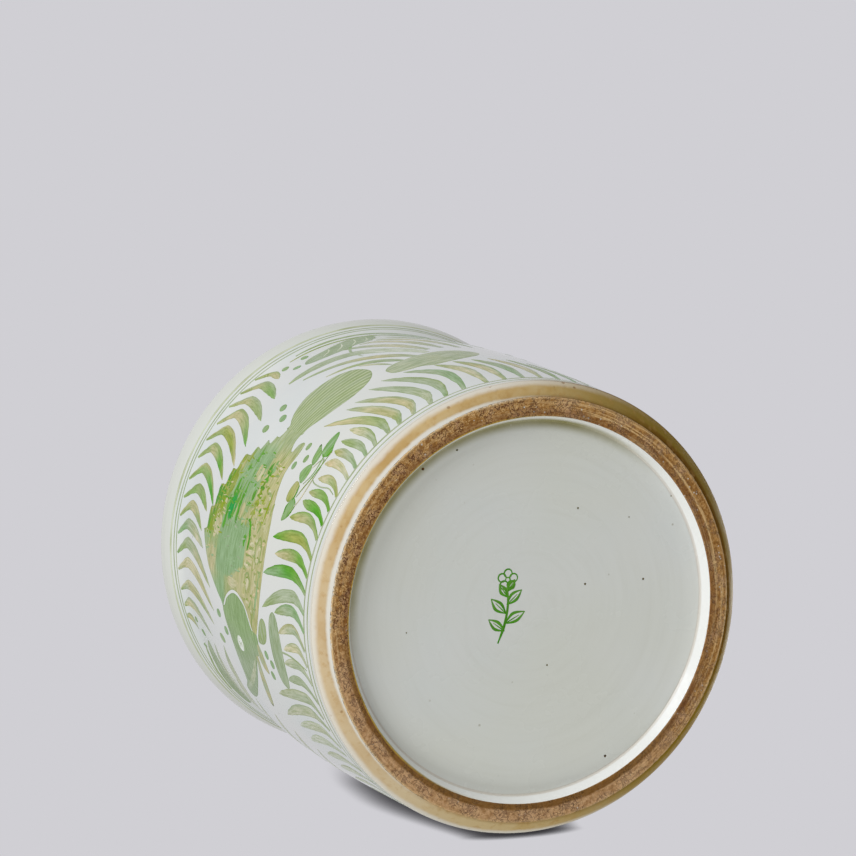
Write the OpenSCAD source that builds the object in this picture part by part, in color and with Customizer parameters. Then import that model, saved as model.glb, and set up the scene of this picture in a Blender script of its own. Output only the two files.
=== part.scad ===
// Porcelain brush pot: a gently bellied wall that draws in to a neck and flares to a round lip.
// It stands on a turned foot ring with a bevelled heel, and its underside is a shallow recess.
// Millimetres. +Z goes up through the mouth, and the origin is the middle of the foot's underside.

/* [Pot] */
// Height from the foot's underside to the top of the lip
pot_h = 195; // [180:1:240]
// Thickness of the wall and the lip, glaze included
wall_t = 7.6; // [6:0.1:10]
// How far the belly stands out beyond the heel
belly_out = 4.9; // [2:0.1:14]
// Height of the belly's widest point
belly_h = 115; // [90:1:130]
// How far the neck draws in from the belly
neck_in = 1.7; // [0.5:0.1:6]
// Distance from the lip's top down to the neck
neck_drop = 24; // [18:1:38]
// How far the mouth flares out from the neck
flare = 5.2; // [2:0.1:14]
// Height of the undecorated lip band
lip_h = 8; // [6:0.1:11]

/* [Foot] */
// Inside radius of the foot ring at the surface it stands on
foot_in_r = 78; // [60:0.5:90]
// Width of the foot ring's flat underside
foot_w = 7.6; // [5:0.1:12]
// Depth of the recess under the pot
recess_h = 5.6; // [5:0.1:9]
// How far the foot ring's inner face slopes inwards over that depth
recess_slope = 2.4; // [1:0.1:4]
// Width of the heel outside the foot ring
heel_w = 5.8; // [4:0.1:10]
// Width of the narrow ledge where the heel leaves the foot ring
ledge_w = 1.3; // [0.8:0.1:1.8]
// Height of that ledge above the surface the pot stands on
ledge_h = 1.2; // [0.8:0.1:2]
// Height at which the bevelled heel ends and the outer glaze begins
heel_h = 6; // [4:0.1:6.5]

/* [Floor] */
// Thickness of the floor slab between its two raised plates
slab_t = 8; // [6:0.5:14]
// Height of each raised plate that centres the slab in the pieces above and below
plate_h = 2; // [1.5:0.1:3]
// Radius of the cove where the wall meets the floor inside
cove_r = 8; // [4:0.5:12]
// Radial gap of the luted joints around the plates and the foot ring
lute_gap = 0.05; // [0.02:0.01:0.1]

/* [Glaze and enamel] */
// Thickness of every glaze coat
glaze_t = 0.3; // [0.2:0.05:0.6]
// Height of the bare edge below the recess's glaze
bare_edge = 0.6; // [0.4:0.1:1.2]
// Thickness of the enamel bands
enamel_t = 0.08; // [0.05:0.01:0.15]
// Distance from the lip's top down to the broad band below it
broad_drop = 13; // [12.6:0.1:14]
// Width of the broad band
broad_w = 1.2; // [1:0.1:1.6]
// Distance from the lip's top down to the first fine band
fine_drop = 15; // [14.8:0.1:18]
// Distance from one fine band to the next at the mouth
fine_pitch = 1.6; // [1.2:0.1:3]
// Width of a fine band at the mouth
fine_w = 0.7; // [0.5:0.1:0.8]
// Height of the first fine band above the heel
low_rise = 3.2; // [3:0.1:6]
// Distance from one fine band to the next above the heel
low_pitch = 3.5; // [2:0.1:5]
// Width of a fine band above the heel
low_w = 1.2; // [0.8:0.1:1.4]

/* [Hidden] */
$fn = 144;

// Levels, from the surface the pot stands on upwards, and radii from the foot outwards
seat_z = recess_h + plate_h;             // top of the foot ring and of the heel ring
slab_z = seat_z + slab_t;                // where the wall stands on the slab
floor_z = slab_z + plate_h;              // inside floor, under its glaze
neck_h = pot_h - neck_drop;
foot_out_r = foot_in_r + foot_w;
base_r = foot_out_r + heel_w;
belly_r = base_r + belly_out;
neck_r = belly_r - neck_in;
mouth_r = neck_r + flare;
lip_z = pot_h - lip_h;
crown_r = wall_t / 2;                    // round of the lip
crown_z = pot_h - crown_r;
cove_z = floor_z + cove_r;
broad_z = pot_h - broad_drop;
fine_z = [for (i = [0, 1]) pot_h - fine_drop - i * fine_pitch];
low_z = [for (i = [0, 1]) heel_h + low_rise + i * low_pitch];
recess_r = foot_in_r - recess_slope;     // recess at its ceiling
arc_steps = 12;                          // points along a quarter of an arc
wall_step = 7;                           // height between points up the wall

// Outer outline: a quarter wave from heel to belly, then even curves to the neck and to the lip
function ease(t) = t * t * (3 - 2 * t);
function blend(z, z0, z1, r0, r1) = r0 + (r1 - r0) * ease((z - z0) / (z1 - z0));
function outer_r(z) =
    z <= heel_h ? base_r
    : z < belly_h ? base_r + (belly_r - base_r) * sin(90 * (z - heel_h) / (belly_h - heel_h))
    : z < neck_h ? blend(z, belly_h, neck_h, belly_r, neck_r)
    : z < crown_z ? blend(z, neck_h, crown_z, neck_r, mouth_r)
    : mouth_r;

// Heights at which the pieces or bands begin and end, then the points in between
function sorted(v) = len(v) < 2 ? v
    : concat(sorted([for (x = v) if (x < v[0]) x]), [v[0]], sorted([for (x = v) if (x > v[0]) x]));
breaks = concat([heel_h, seat_z, slab_z, cove_z, lip_z, crown_z, broad_z, broad_z + broad_w],
    fine_z, [for (z = fine_z) z + fine_w], low_z, [for (z = low_z) z + low_w]);
between = [for (z = [heel_h : wall_step : crown_z]) if (min([for (b = breaks) abs(b - z)]) > 1) z];
heights = sorted(concat(breaks, between));

// Part of the wall's outline from z0 up to z1, inset towards the axis
function side(z0, z1, inset) = [for (z = heights) if (z >= z0 && z <= z1) [outer_r(z) - inset, z]];
function turned(v) = [for (i = [len(v) - 1 : -1 : 0]) v[i]];

// Lip from its outer foot over the crown to its inner foot, with a coat of thickness t taken off
function crown(t) = [for (i = [1 : 2 * arc_steps - 1]) let (a = i * 90 / arc_steps)
    [mouth_r - crown_r + (crown_r - t) * cos(a), crown_z + (crown_r - t) * sin(a)]];
function lip_line(t) = concat(side(lip_z, crown_z, t), crown(t), turned(side(lip_z, crown_z, wall_t - t)));

// Inside of the pot from the lip down the wall and round the cove, t in front of the clay
function cove(t) = [for (i = [1 : arc_steps]) let (a = i * 90 / arc_steps)
    [outer_r(cove_z) - wall_t + glaze_t - cove_r + (cove_r - t) * cos(a),
     cove_z - (cove_r - t) * sin(a)]];
function inside_line(t) = concat(turned(side(cove_z, lip_z, wall_t - glaze_t + t)), cove(t));
plate_r = outer_r(cove_z) - wall_t + glaze_t - cove_r;

module spin(line) {
    rotate_extrude() polygon(line);
}

// Band of enamel on the outer glaze, from height z up
module band(z, w) {
    spin(concat(side(z, z + w, 0), turned(side(z, z + w, -enamel_t))));
}

// Ring of bare brown clay that the pot stands on; its top toe reaches in under the slab
module foot_ring() {
    color("saddlebrown") spin([
        [foot_in_r, 0], [foot_out_r, 0], [foot_out_r, seat_z], [recess_r + lute_gap, seat_z],
        [recess_r + lute_gap, recess_h], [recess_r + glaze_t, recess_h],
        [foot_in_r + glaze_t, bare_edge], [foot_in_r, bare_edge]]);
}

// Bevelled tan ring around the foot, a little above the surface
module heel_ring() {
    color("burlywood") spin([
        [foot_out_r + lute_gap, ledge_h], [foot_out_r + ledge_w, ledge_h],
        [base_r, heel_h], [base_r - glaze_t, heel_h],
        [outer_r(seat_z) - glaze_t, seat_z], [foot_out_r + lute_gap, seat_z]]);
}

// Slab with a raised plate on each face, which centres it
module floor_slab() {
    color("ivory") spin(concat(
        [[0, recess_h], [recess_r, recess_h], [recess_r, seat_z]],
        side(seat_z, slab_z, glaze_t),
        [[plate_r - lute_gap, slab_z], [plate_r - lute_gap, floor_z], [0, floor_z]]));
}

// Thrown wall, standing on the slab with its toe around the upper plate
module wall() {
    color("ivory") spin(concat(
        side(slab_z, lip_z, glaze_t), inside_line(0), [[plate_r, slab_z]]));
}

// Rounded lip
module lip() {
    color("ivory") spin(lip_line(glaze_t));
}

// Clear glaze over the outside, from the heel to the lip
module outer_glaze() {
    color("azure") spin(concat(side(heel_h, lip_z, 0), turned(side(heel_h, lip_z, glaze_t))));
}

// Glaze over the inside wall and floor
module inner_glaze() {
    color("azure") spin(concat(inside_line(0), [[0, floor_z], [0, floor_z + glaze_t]],
        turned(inside_line(glaze_t))));
}

// Thicker white glaze rolled over the lip
module lip_glaze() {
    color("white") spin(concat(lip_line(0), turned(lip_line(glaze_t))));
}

// Grey-white glaze over the recess and up the foot ring's inner face
module recess_glaze() {
    color("gainsboro") spin([
        [0, recess_h - glaze_t], [recess_r, recess_h - glaze_t], [foot_in_r, bare_edge],
        [foot_in_r + glaze_t, bare_edge], [recess_r + glaze_t, recess_h], [0, recess_h]]);
}

// Painted lines around the pot
module broad_band() {
    color("olivedrab") band(broad_z, broad_w);
}
module mouth_bands() {
    color("darkseagreen") for (z = fine_z) band(z, fine_w);
}
module heel_bands() {
    color("darkseagreen") for (z = low_z) band(z, low_w);
}

foot_ring();
heel_ring();
floor_slab();
wall();
lip();
outer_glaze();
inner_glaze();
lip_glaze();
recess_glaze();
broad_band();
mouth_bands();
heel_bands();
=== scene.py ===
# Porcelain brush pot with a painted fish among water weeds. Metres, +Z up through the mouth.
# Marks on the wall are laid out flat first: degrees round the pot and millimetres above its foot.
import math
import random
from bisect import bisect
import bmesh
import bpy
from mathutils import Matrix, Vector, noise
from mathutils.geometry import delaunay_2d_cdt


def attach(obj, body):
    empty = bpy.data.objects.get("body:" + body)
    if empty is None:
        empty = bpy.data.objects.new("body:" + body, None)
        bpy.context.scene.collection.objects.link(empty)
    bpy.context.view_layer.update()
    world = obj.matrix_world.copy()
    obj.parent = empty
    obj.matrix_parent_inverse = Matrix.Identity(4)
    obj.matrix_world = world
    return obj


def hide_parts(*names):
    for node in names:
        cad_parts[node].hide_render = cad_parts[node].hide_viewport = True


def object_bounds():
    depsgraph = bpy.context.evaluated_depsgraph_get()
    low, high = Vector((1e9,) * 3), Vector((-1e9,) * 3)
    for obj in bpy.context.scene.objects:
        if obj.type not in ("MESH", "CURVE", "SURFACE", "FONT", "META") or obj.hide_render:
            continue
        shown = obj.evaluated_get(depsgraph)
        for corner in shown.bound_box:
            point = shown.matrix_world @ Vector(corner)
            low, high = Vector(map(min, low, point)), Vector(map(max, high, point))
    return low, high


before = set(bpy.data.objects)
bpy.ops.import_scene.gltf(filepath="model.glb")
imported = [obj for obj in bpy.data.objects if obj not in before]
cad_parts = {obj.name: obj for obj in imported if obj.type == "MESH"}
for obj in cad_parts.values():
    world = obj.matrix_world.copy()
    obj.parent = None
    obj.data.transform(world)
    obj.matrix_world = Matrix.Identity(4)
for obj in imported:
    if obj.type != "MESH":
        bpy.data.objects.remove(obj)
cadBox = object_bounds()
scene = bpy.context.scene
print("frame loaded,", len(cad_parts), "solids")


def mixed(low, high, share):
    return low + (high - low) * share


def eased(value, low=0.0, high=1.0):
    share = min(max((value - low) / (high - low), 0.0), 1.0)
    return share * share * (3 - 2 * share)


def shade(red, green, blue):
    # a colour as it is seen, 0 to 255, as the light values that a shader takes
    seen = [channel / 255 for channel in (red, green, blue)]
    return tuple(c / 12.92 if c <= 0.04045 else ((c + 0.055) / 1.055) ** 2.4 for c in seen)


def fired(red, green, blue):
    # an enamel's own colour, once the gloss over it has been allowed for
    return tuple(max((c - 0.03) / 0.84, 0.006) for c in shade(red, green, blue))


def blended(first, second, share):
    return tuple(mixed(a, b, share) for a, b in zip(first, second))


def ringRows(nodeName):
    # heights of a turned solid's rings, each with its least and greatest radius
    rows = {}
    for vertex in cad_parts[nodeName].data.vertices:
        radius = math.hypot(vertex.co.x, vertex.co.y)
        height = round(vertex.co.z, 5)
        least, greatest = rows.get(height, (radius, radius))
        rows[height] = (min(least, radius), max(greatest, radius))
    return sorted((height, *radii) for height, radii in rows.items())


def curveThrough(points):
    # gives the radius at any height, on an even curve through the points
    heights = [point[0] for point in points]
    radii = [point[1] for point in points]
    last = len(points) - 1
    slopes = []
    for i in range(len(points)):
        low, high = max(i - 1, 0), min(i + 1, last)
        slopes.append((radii[high] - radii[low]) / (heights[high] - heights[low]))

    def at(height):
        i = min(max(bisect(heights, height) - 1, 0), last - 1)
        step = heights[i + 1] - heights[i]
        t = min(max((height - heights[i]) / step, 0.0), 1.0)
        start = (2 * t ** 3 - 3 * t ** 2 + 1) * radii[i] + (t ** 3 - 2 * t ** 2 + t) * step * slopes[i]
        end = (3 * t ** 2 - 2 * t ** 3) * radii[i + 1] + (t ** 3 - t ** 2) * step * slopes[i + 1]
        return start + end
    return at


def smoothLine(points, steps, closed=False):
    # an even curve through flat points
    made = []
    count = len(points)
    for i in range(count if closed else count - 1):
        if closed:
            a, b, c, d = (points[(i + k) % count] for k in (-1, 0, 1, 2))
        else:
            a, b, c, d = (points[min(max(i + k, 0), count - 1)] for k in (-1, 0, 1, 2))
        for j in range(steps):
            t = j / steps
            made.append(tuple(
                0.5 * (2 * q + (r - p) * t + (2 * p - 5 * q + 4 * r - s) * t ** 2
                       + (3 * q - p - 3 * r + s) * t ** 3)
                for p, q, r, s in zip(a, b, c, d)))
    if not closed:
        made.append(tuple(points[-1]))
    return made


class Wire:
    # one socket; sums on wires add their nodes
    def __init__(self, work, socket):
        self.work = work
        self.socket = socket

    def __add__(self, other):
        return self.work.maths("ADD", self, other)

    def __radd__(self, other):
        return self.work.maths("ADD", other, self)

    def __sub__(self, other):
        return self.work.maths("SUBTRACT", self, other)

    def __rsub__(self, other):
        return self.work.maths("SUBTRACT", other, self)

    def __mul__(self, other):
        return self.work.maths("MULTIPLY", self, other)

    def __rmul__(self, other):
        return self.work.maths("MULTIPLY", other, self)

    def __truediv__(self, other):
        return self.work.maths("DIVIDE", self, other)


class NodeWork:
    # builds the nodes of one tree
    def __init__(self, tree):
        self.tree = tree
        self.tree.nodes.clear()

    def feed(self, socket, value):
        if isinstance(value, Wire):
            self.tree.links.new(value.socket, socket)
        elif isinstance(value, tuple) and len(value) == 3 and socket.type == "RGBA":
            socket.default_value = (*value, 1)
        else:
            socket.default_value = value

    def node(self, kind, settings=None, inputs=None, output=0):
        # any node: its settings first, then the values or wires of its sockets
        made = self.tree.nodes.new(kind)
        for key, value in (settings or {}).items():
            if key == "stops":
                ramp = made.color_ramp.elements
                while len(ramp) < len(value):
                    ramp.new(1.0)
                for stop, (place, colour) in zip(ramp, value):
                    stop.position = place
                    stop.color = (*colour, 1) if isinstance(colour, tuple) else (colour, colour, colour, 1)
            else:
                setattr(made, key, value)
        for key, value in (inputs or {}).items():
            self.feed(made.inputs[key], value)
        return Wire(self, made.outputs[output])

    def maths(self, operation, first, second=0.0, limited=False):
        settings = {"operation": operation, "use_clamp": limited}
        return self.node("ShaderNodeMath", settings, {0: first, 1: second})

    def mix(self, share, first, second, blend="MIX"):
        settings = {"data_type": "RGBA", "blend_type": blend, "clamp_factor": True}
        return self.node("ShaderNodeMix", settings, {0: share, 6: first, 7: second}, output=2)

    def step(self, value, low, high, start=0.0, end=1.0):
        # rises evenly from start to end while the value goes from low to high
        settings = {"interpolation_type": "SMOOTHSTEP"}
        inputs = {"Value": value, "From Min": low, "From Max": high, "To Min": start, "To Max": end}
        return self.node("ShaderNodeMapRange", settings, inputs)

    def place(self):
        return self.node("ShaderNodeTexCoord", output=3)

    def stretched(self, vector, scale):
        return self.node("ShaderNodeVectorMath", {"operation": "MULTIPLY"}, {0: vector, 1: scale})

    def split(self, vector):
        made = self.tree.nodes.new("ShaderNodeSeparateXYZ")
        self.feed(made.inputs[0], vector)
        return [Wire(self, out) for out in made.outputs]

    def grain(self, vector, scale, detail=3.0, rough=0.55, warp=0.0):
        inputs = {"Vector": vector, "Scale": scale, "Detail": detail, "Roughness": rough, "Distortion": warp}
        return self.node("ShaderNodeTexNoise", None, inputs)

    def cells(self, vector, scale):
        return self.node("ShaderNodeTexVoronoi", None, {"Vector": vector, "Scale": scale})

    def mark(self, name, output=2):
        return self.node("ShaderNodeAttribute", {"attribute_name": name}, output=output)

    def bump(self, height, strength, distance):
        inputs = {"Height": height, "Strength": strength, "Distance": distance}
        return self.node("ShaderNodeBump", None, inputs)


class Finish(NodeWork):
    def __init__(self, name, roughness=0.5, **fixed):
        self.material = bpy.data.materials.new(name)
        self.material.use_nodes = True
        super().__init__(self.material.node_tree)
        self.end = self.tree.nodes.new("ShaderNodeOutputMaterial")
        self.surface = self.tree.nodes.new("ShaderNodeBsdfPrincipled")
        self.surface.inputs["Roughness"].default_value = roughness
        for socketName, value in fixed.items():
            self.surface.inputs[socketName].default_value = value
        self.tree.links.new(self.surface.outputs[0], self.end.inputs["Surface"])

    def aroundAxis(self):
        # distance from the axis and height of a place on a turned piece
        x, y, height = self.split(self.place())
        radius = self.maths("SQRT", x * x + y * y)
        safe = self.maths("MAXIMUM", radius, 0.001)
        self.radius, self.east, self.north = radius, x / safe, y / safe
        return radius, height

    def side(self, degrees, low, high):
        # rises from 0 to 1 where a place faces a direction round the pot more and more squarely
        turn = math.radians(degrees)
        facing = self.east * (math.cos(turn) * 0.5) + self.north * (math.sin(turn) * 0.5) + 0.5
        return self.step(facing, low, high)

    def rings(self, across, along, **kinds):
        # fine across the turning, drawn out along it
        places = {"X": self.radius * across, "Y": self.east * along, "Z": self.north * along}
        return self.grain(self.node("ShaderNodeCombineXYZ", None, places), 1.0, **kinds)

    def lay(self, share, colour):
        # one more colour over those laid before
        self.tone = self.mix(share, self.tone, colour)

    def wear(self, roughness, normal):
        self.feed(self.surface.inputs["Base Color"], self.tone)
        self.feed(self.surface.inputs["Roughness"], roughness)
        self.feed(self.surface.inputs["Normal"], normal)
        return self


whiteGlazeLook = {
    "white": shade(225, 227, 224),
    "warm": shade(222, 222, 214),
    "cool": shade(217, 222, 221),
    "lip": shade(216, 218, 211),
    "lipFrom": 0.1795,
    "heelTone": shade(216, 207, 188),
    "darkHeelTone": shade(128, 96, 30),
    "iron": shade(120, 112, 92),
}


def makeWhiteGlaze():
    look = whiteGlazeLook
    finish = Finish("whiteGlaze", roughness=0.16, IOR=1.5)
    height = finish.aroundAxis()[1]
    place = finish.place()
    cloud = finish.grain(place, 22.0, detail=3.0, rough=0.5)
    patch = finish.grain(place, 9.0, detail=2.0)
    finish.tone = finish.mix(finish.step(cloud, 0.35, 0.65), look["white"], look["cool"])
    finish.lay(finish.step(patch, 0.5, 0.72) * 0.6, look["warm"])
    # the glaze runs thin and creamy towards the lip, and warm where it stops above the heel
    finish.lay(finish.step(height, look["lipFrom"], look["lipFrom"] + 0.007), look["lip"])
    ragged = finish.grain(place, 90.0, detail=2.0)
    low = finish.step(height + ragged * 0.0012, 0.0085, 0.0066)
    finish.lay(low * 0.75, look["heelTone"])
    # painted shade: just above the heel the glaze is laid dark olive-brown on the side facing 210 degrees,
    # away from the light
    shadedHeelGlaze = finish.step(height + ragged * 0.002, 0.0145, 0.0095)
    finish.lay(shadedHeelGlaze * finish.side(210, 0.55, 0.82), look["darkHeelTone"])
    # a few pinholes and grains of iron
    speck = finish.cells(place, 75.0)
    rare = finish.grain(place, 40.0, detail=0.0)
    finish.lay(finish.step(speck, 0.05, 0.028) * finish.step(rare, 0.62, 0.66) * 0.5, look["iron"])
    skin = finish.grain(place, 260.0, detail=2.0)
    wave = finish.grain(place, 45.0, detail=1.0)
    normal = finish.bump(skin * 0.3 + wave, 0.25, 0.00012)
    return finish.wear(finish.step(cloud, 0.3, 0.7, 0.12, 0.2), normal)


innerLook = {
    "white": shade(221, 222, 216),
    "grey": shade(208, 211, 203),
    "ring": shade(196, 199, 188),
    "dust": shade(168, 166, 156),
    "iron": shade(126, 112, 88),
}


def makeInnerGlaze():
    look = innerLook
    finish = Finish("insideGlaze", roughness=0.2, IOR=1.5)
    height = finish.aroundAxis()[1]
    place = finish.place()
    cloud = finish.grain(place, 16.0, detail=4.0)
    rings = finish.grain(finish.stretched(place, (6.0, 6.0, 260.0)), 1.0, detail=2.0)
    finish.tone = finish.mix(finish.step(cloud, 0.35, 0.7), look["white"], look["grey"])
    finish.lay(finish.step(rings, 0.55, 0.75) * 0.35, look["ring"])
    # brushes leave a faint grey wash on the floor
    dust = finish.grain(place, 60.0, detail=5.0)
    low = finish.step(height, 0.045, 0.018)
    finish.lay(low * finish.step(dust, 0.4, 0.7) * 0.35, look["dust"])
    speck = finish.cells(place, 90.0)
    finish.lay(finish.step(speck, 0.06, 0.03) * 0.35, look["iron"])
    normal = finish.bump(rings + cloud * 0.4, 0.3, 0.0002)
    return finish.wear(finish.step(cloud, 0.3, 0.7, 0.16, 0.28), normal)


recessLook = {
    "grey": shade(235, 237, 235),
    "green": shade(231, 233, 223),
    "blue": shade(232, 236, 235),
    "wall": shade(246, 247, 244),
    "olivePoolAndShade": shade(150, 144, 90),
    "rosy": shade(188, 158, 126),
    "edge": shade(204, 182, 112),
    "ring": shade(196, 196, 180),
    "iron": shade(140, 132, 98),
    "pale": shade(226, 226, 222),
    "poolShadeSide": 104.0,              # direction round the pot where the ring shades the corner: painted shade there, partly pooled glaze
}


def makeRecessGlaze(ceiling, edge, corner):
    look = recessLook
    finish = Finish("recessGlaze", roughness=0.24, IOR=1.5)
    radius, height = finish.aroundAxis()
    place = finish.place()
    cloud = finish.grain(place, 30.0, detail=4.0, rough=0.6)
    broad = finish.grain(place, 11.0, detail=2.0)
    rings = finish.rings(420.0, 1.4, detail=3.0)
    finish.tone = finish.mix(finish.step(cloud, 0.2, 0.8), look["grey"], look["blue"])
    finish.lay(finish.step(broad, 0.25, 0.75) * 0.8, look["green"])
    finish.lay(finish.step(rings, 0.4, 0.9) * 0.12, look["ring"])
    # the inner wall is laid whiter than the floor, painted light; on the shaded side the corner is olive,
    # painted shade with the brown ring's painted reflection, partly glaze pooled there; elsewhere a thin rosy
    # line is left there
    finish.lay(finish.step(height, ceiling - 0.0003, ceiling - 0.0011), look["wall"])
    uneven = finish.grain(place, 70.0, detail=3.0)
    poolAndShade = finish.side(look["poolShadeSide"], 0.58, 0.88)
    nearCorner = finish.step(radius, corner - 0.0042, corner - 0.0002) * finish.step(
        height, edge + 0.0014, ceiling - 0.0006)
    finish.lay(nearCorner * poolAndShade * finish.step(uneven, 0.2, 0.8, 0.75, 1.0), look["olivePoolAndShade"])
    thin = finish.step(radius + uneven * 0.0004, corner - 0.0005, corner) * finish.step(
        height, ceiling - 0.0012, ceiling - 0.0004)
    finish.lay(thin * (1 - poolAndShade) * 0.3, look["rosy"])
    wander = finish.grain(place, 160.0, detail=2.0)
    low = height - wander * 0.0008
    sided = finish.side(60.0, 0.45, 0.8)
    finish.lay(finish.step(low, edge + 0.0009, edge + 0.0001) * sided, look["edge"])
    speck = finish.cells(place, 120.0)
    rare = finish.grain(place, 55.0, detail=0.0)
    finish.lay(finish.step(speck, 0.085, 0.035) * finish.step(rare, 0.56, 0.62) * 0.45, look["iron"])
    pale = finish.cells(place, 160.0)
    finish.lay(finish.step(pale, 0.09, 0.04) * 0.25, look["pale"])
    skin = finish.grain(place, 300.0, detail=2.0)
    normal = finish.bump(skin * 0.35 + rings * 0.4 + cloud * 0.4, 0.3, 0.00018)
    return finish.wear(finish.step(cloud, 0.3, 0.7, 0.2, 0.32), normal)


footLook = {
    "brown": shade(182, 132, 66),
    "dark": shade(142, 94, 30),
    "black": shade(112, 62, 8),
    "sand": shade(228, 190, 134),
    "rose": shade(210, 168, 128),
    "smooth": shade(134, 96, 28),
    "golden": shade(206, 170, 66),
    "margin": shade(226, 192, 140),
    "cream": shade(230, 224, 212),
    "creamHighlightSide": 64.0,              # direction round the pot, towards the light, where the pale cream is widest: partly a pale wash, partly painted highlight
    "smoothSide": -28.0,            # direction where the ring's inner half was wiped smooth
}


def makeFootClay(inner, outer):
    look = footLook
    finish = Finish("bareFootClay", roughness=0.8, IOR=1.45)
    radius, height = finish.aroundAxis()
    place = finish.place()
    rings = finish.rings(1000.0, 3.0, detail=4.0, rough=0.6)
    coarse = finish.grain(place, 520.0, detail=4.0, rough=0.65)
    blotch = finish.grain(place, 130.0, detail=3.0)
    slow = finish.grain(place, 14.0, detail=1.0)
    washAndHighlight = finish.side(look["creamHighlightSide"], 0.6, 0.86)
    grooveAndShadeSide = finish.side(215.0, 0.45, 0.8)
    finish.tone = finish.mix(finish.step(coarse, 0.4, 0.62), look["brown"], look["dark"])
    finish.lay(finish.step(blotch + coarse * 0.5, 0.7, 0.95) * 0.7, look["rose"])
    # turning grooves, plainest on the side away from the wash
    finish.lay(finish.step(rings, 0.5, 0.64) * (grooveAndShadeSide * 0.5 + 0.4), look["sand"])
    finish.lay(finish.step(rings, 0.48, 0.34) * (grooveAndShadeSide * 0.1 + 0.65), look["dark"])
    # crooked cracks between the grains, with pale crumbs beside them
    crooked = finish.grain(place, 560.0, detail=2.0, warp=0.7)
    ridge = finish.maths("ABSOLUTE", crooked - 0.5)
    crack = finish.step(ridge, 0.05, 0.012) * finish.step(blotch, 0.44, 0.54)
    crumbs = finish.step(ridge, 0.05, 0.09) * finish.step(ridge, 0.15, 0.1) * finish.step(coarse, 0.56, 0.46)
    finish.lay(crumbs * (0.85 - grooveAndShadeSide * 0.45), look["sand"])
    finish.lay(crack * (0.9 - grooveAndShadeSide * 0.6), look["black"])
    pebble = finish.cells(place, 420.0)
    sparse = finish.grain(place, 120.0, detail=0.0)
    finish.lay(finish.step(pebble, 0.2, 0.1) * finish.step(sparse, 0.55, 0.62) * 0.8, look["cream"])
    # inner half wiped smooth and olive on one side, and a dark line beside the glaze on the other
    wiped = finish.side(look["smoothSide"], 0.6, 0.85)
    innerHalf = finish.step(radius + blotch * 0.0012, inner + 0.0036, inner + 0.0026)
    finish.lay(innerHalf * wiped * 0.85, look["smooth"])
    finish.lay((1 - innerHalf) * wiped * finish.step(coarse, 0.3, 0.7, 0.75, 0.2), look["rose"])
    hem = finish.step(radius + (blotch - 0.5) * 0.0016, inner + 0.0034, inner + 0.0018)
    finish.lay(hem * finish.step(slow + blotch * 0.5, 0.5, 0.72, 1.0, 0.4), look["black"])
    rim = finish.step(radius, inner + 0.0007, inner + 0.0003)
    finish.lay(rim * finish.side(60.0, 0.55, 0.85), look["golden"])
    # pale margin that turns to cream on the side towards the light: partly wash run over the edge, partly
    # painted highlight
    wobble = (coarse - 0.5) * 0.0016 + (blotch - 0.5) * 0.0012
    margin = finish.step(radius + wobble, outer - 0.0012, outer - 0.0003)
    finish.lay(margin * (washAndHighlight * 0.4 + 0.5), look["margin"])
    run = finish.step(radius + wobble, outer - 0.0004, outer + 0.0002)
    finish.lay(run * washAndHighlight * 0.95, look["cream"])
    # the ring's outer face is sand, but painted shade, dark, on the side facing 215 degrees, away from the
    # light
    side = finish.step(height, 0.0003, 0.0008)
    finish.lay(side * (1 - washAndHighlight) * 0.85, finish.mix(grooveAndShadeSide, look["sand"], look["dark"]))
    normal = finish.bump(coarse + rings * 0.6 - crack, 0.9, 0.0005)
    return finish.wear(finish.step(coarse, 0.3, 0.7, 0.62, 0.9), normal)


heelLook = {
    "tan": shade(214, 190, 142),
    "ochre": shade(204, 174, 116),
    "rosy": shade(222, 204, 172),
    "olive": shade(146, 118, 26),
    "brown": shade(186, 146, 88),
    "red": shade(104, 60, 12),
    "cream": shade(232, 228, 218),
    "pit": shade(140, 96, 44),
    "shadeFacing": 222.0,             # direction round the pot away from the light, where the heel is painted darkest as shade
}


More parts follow.
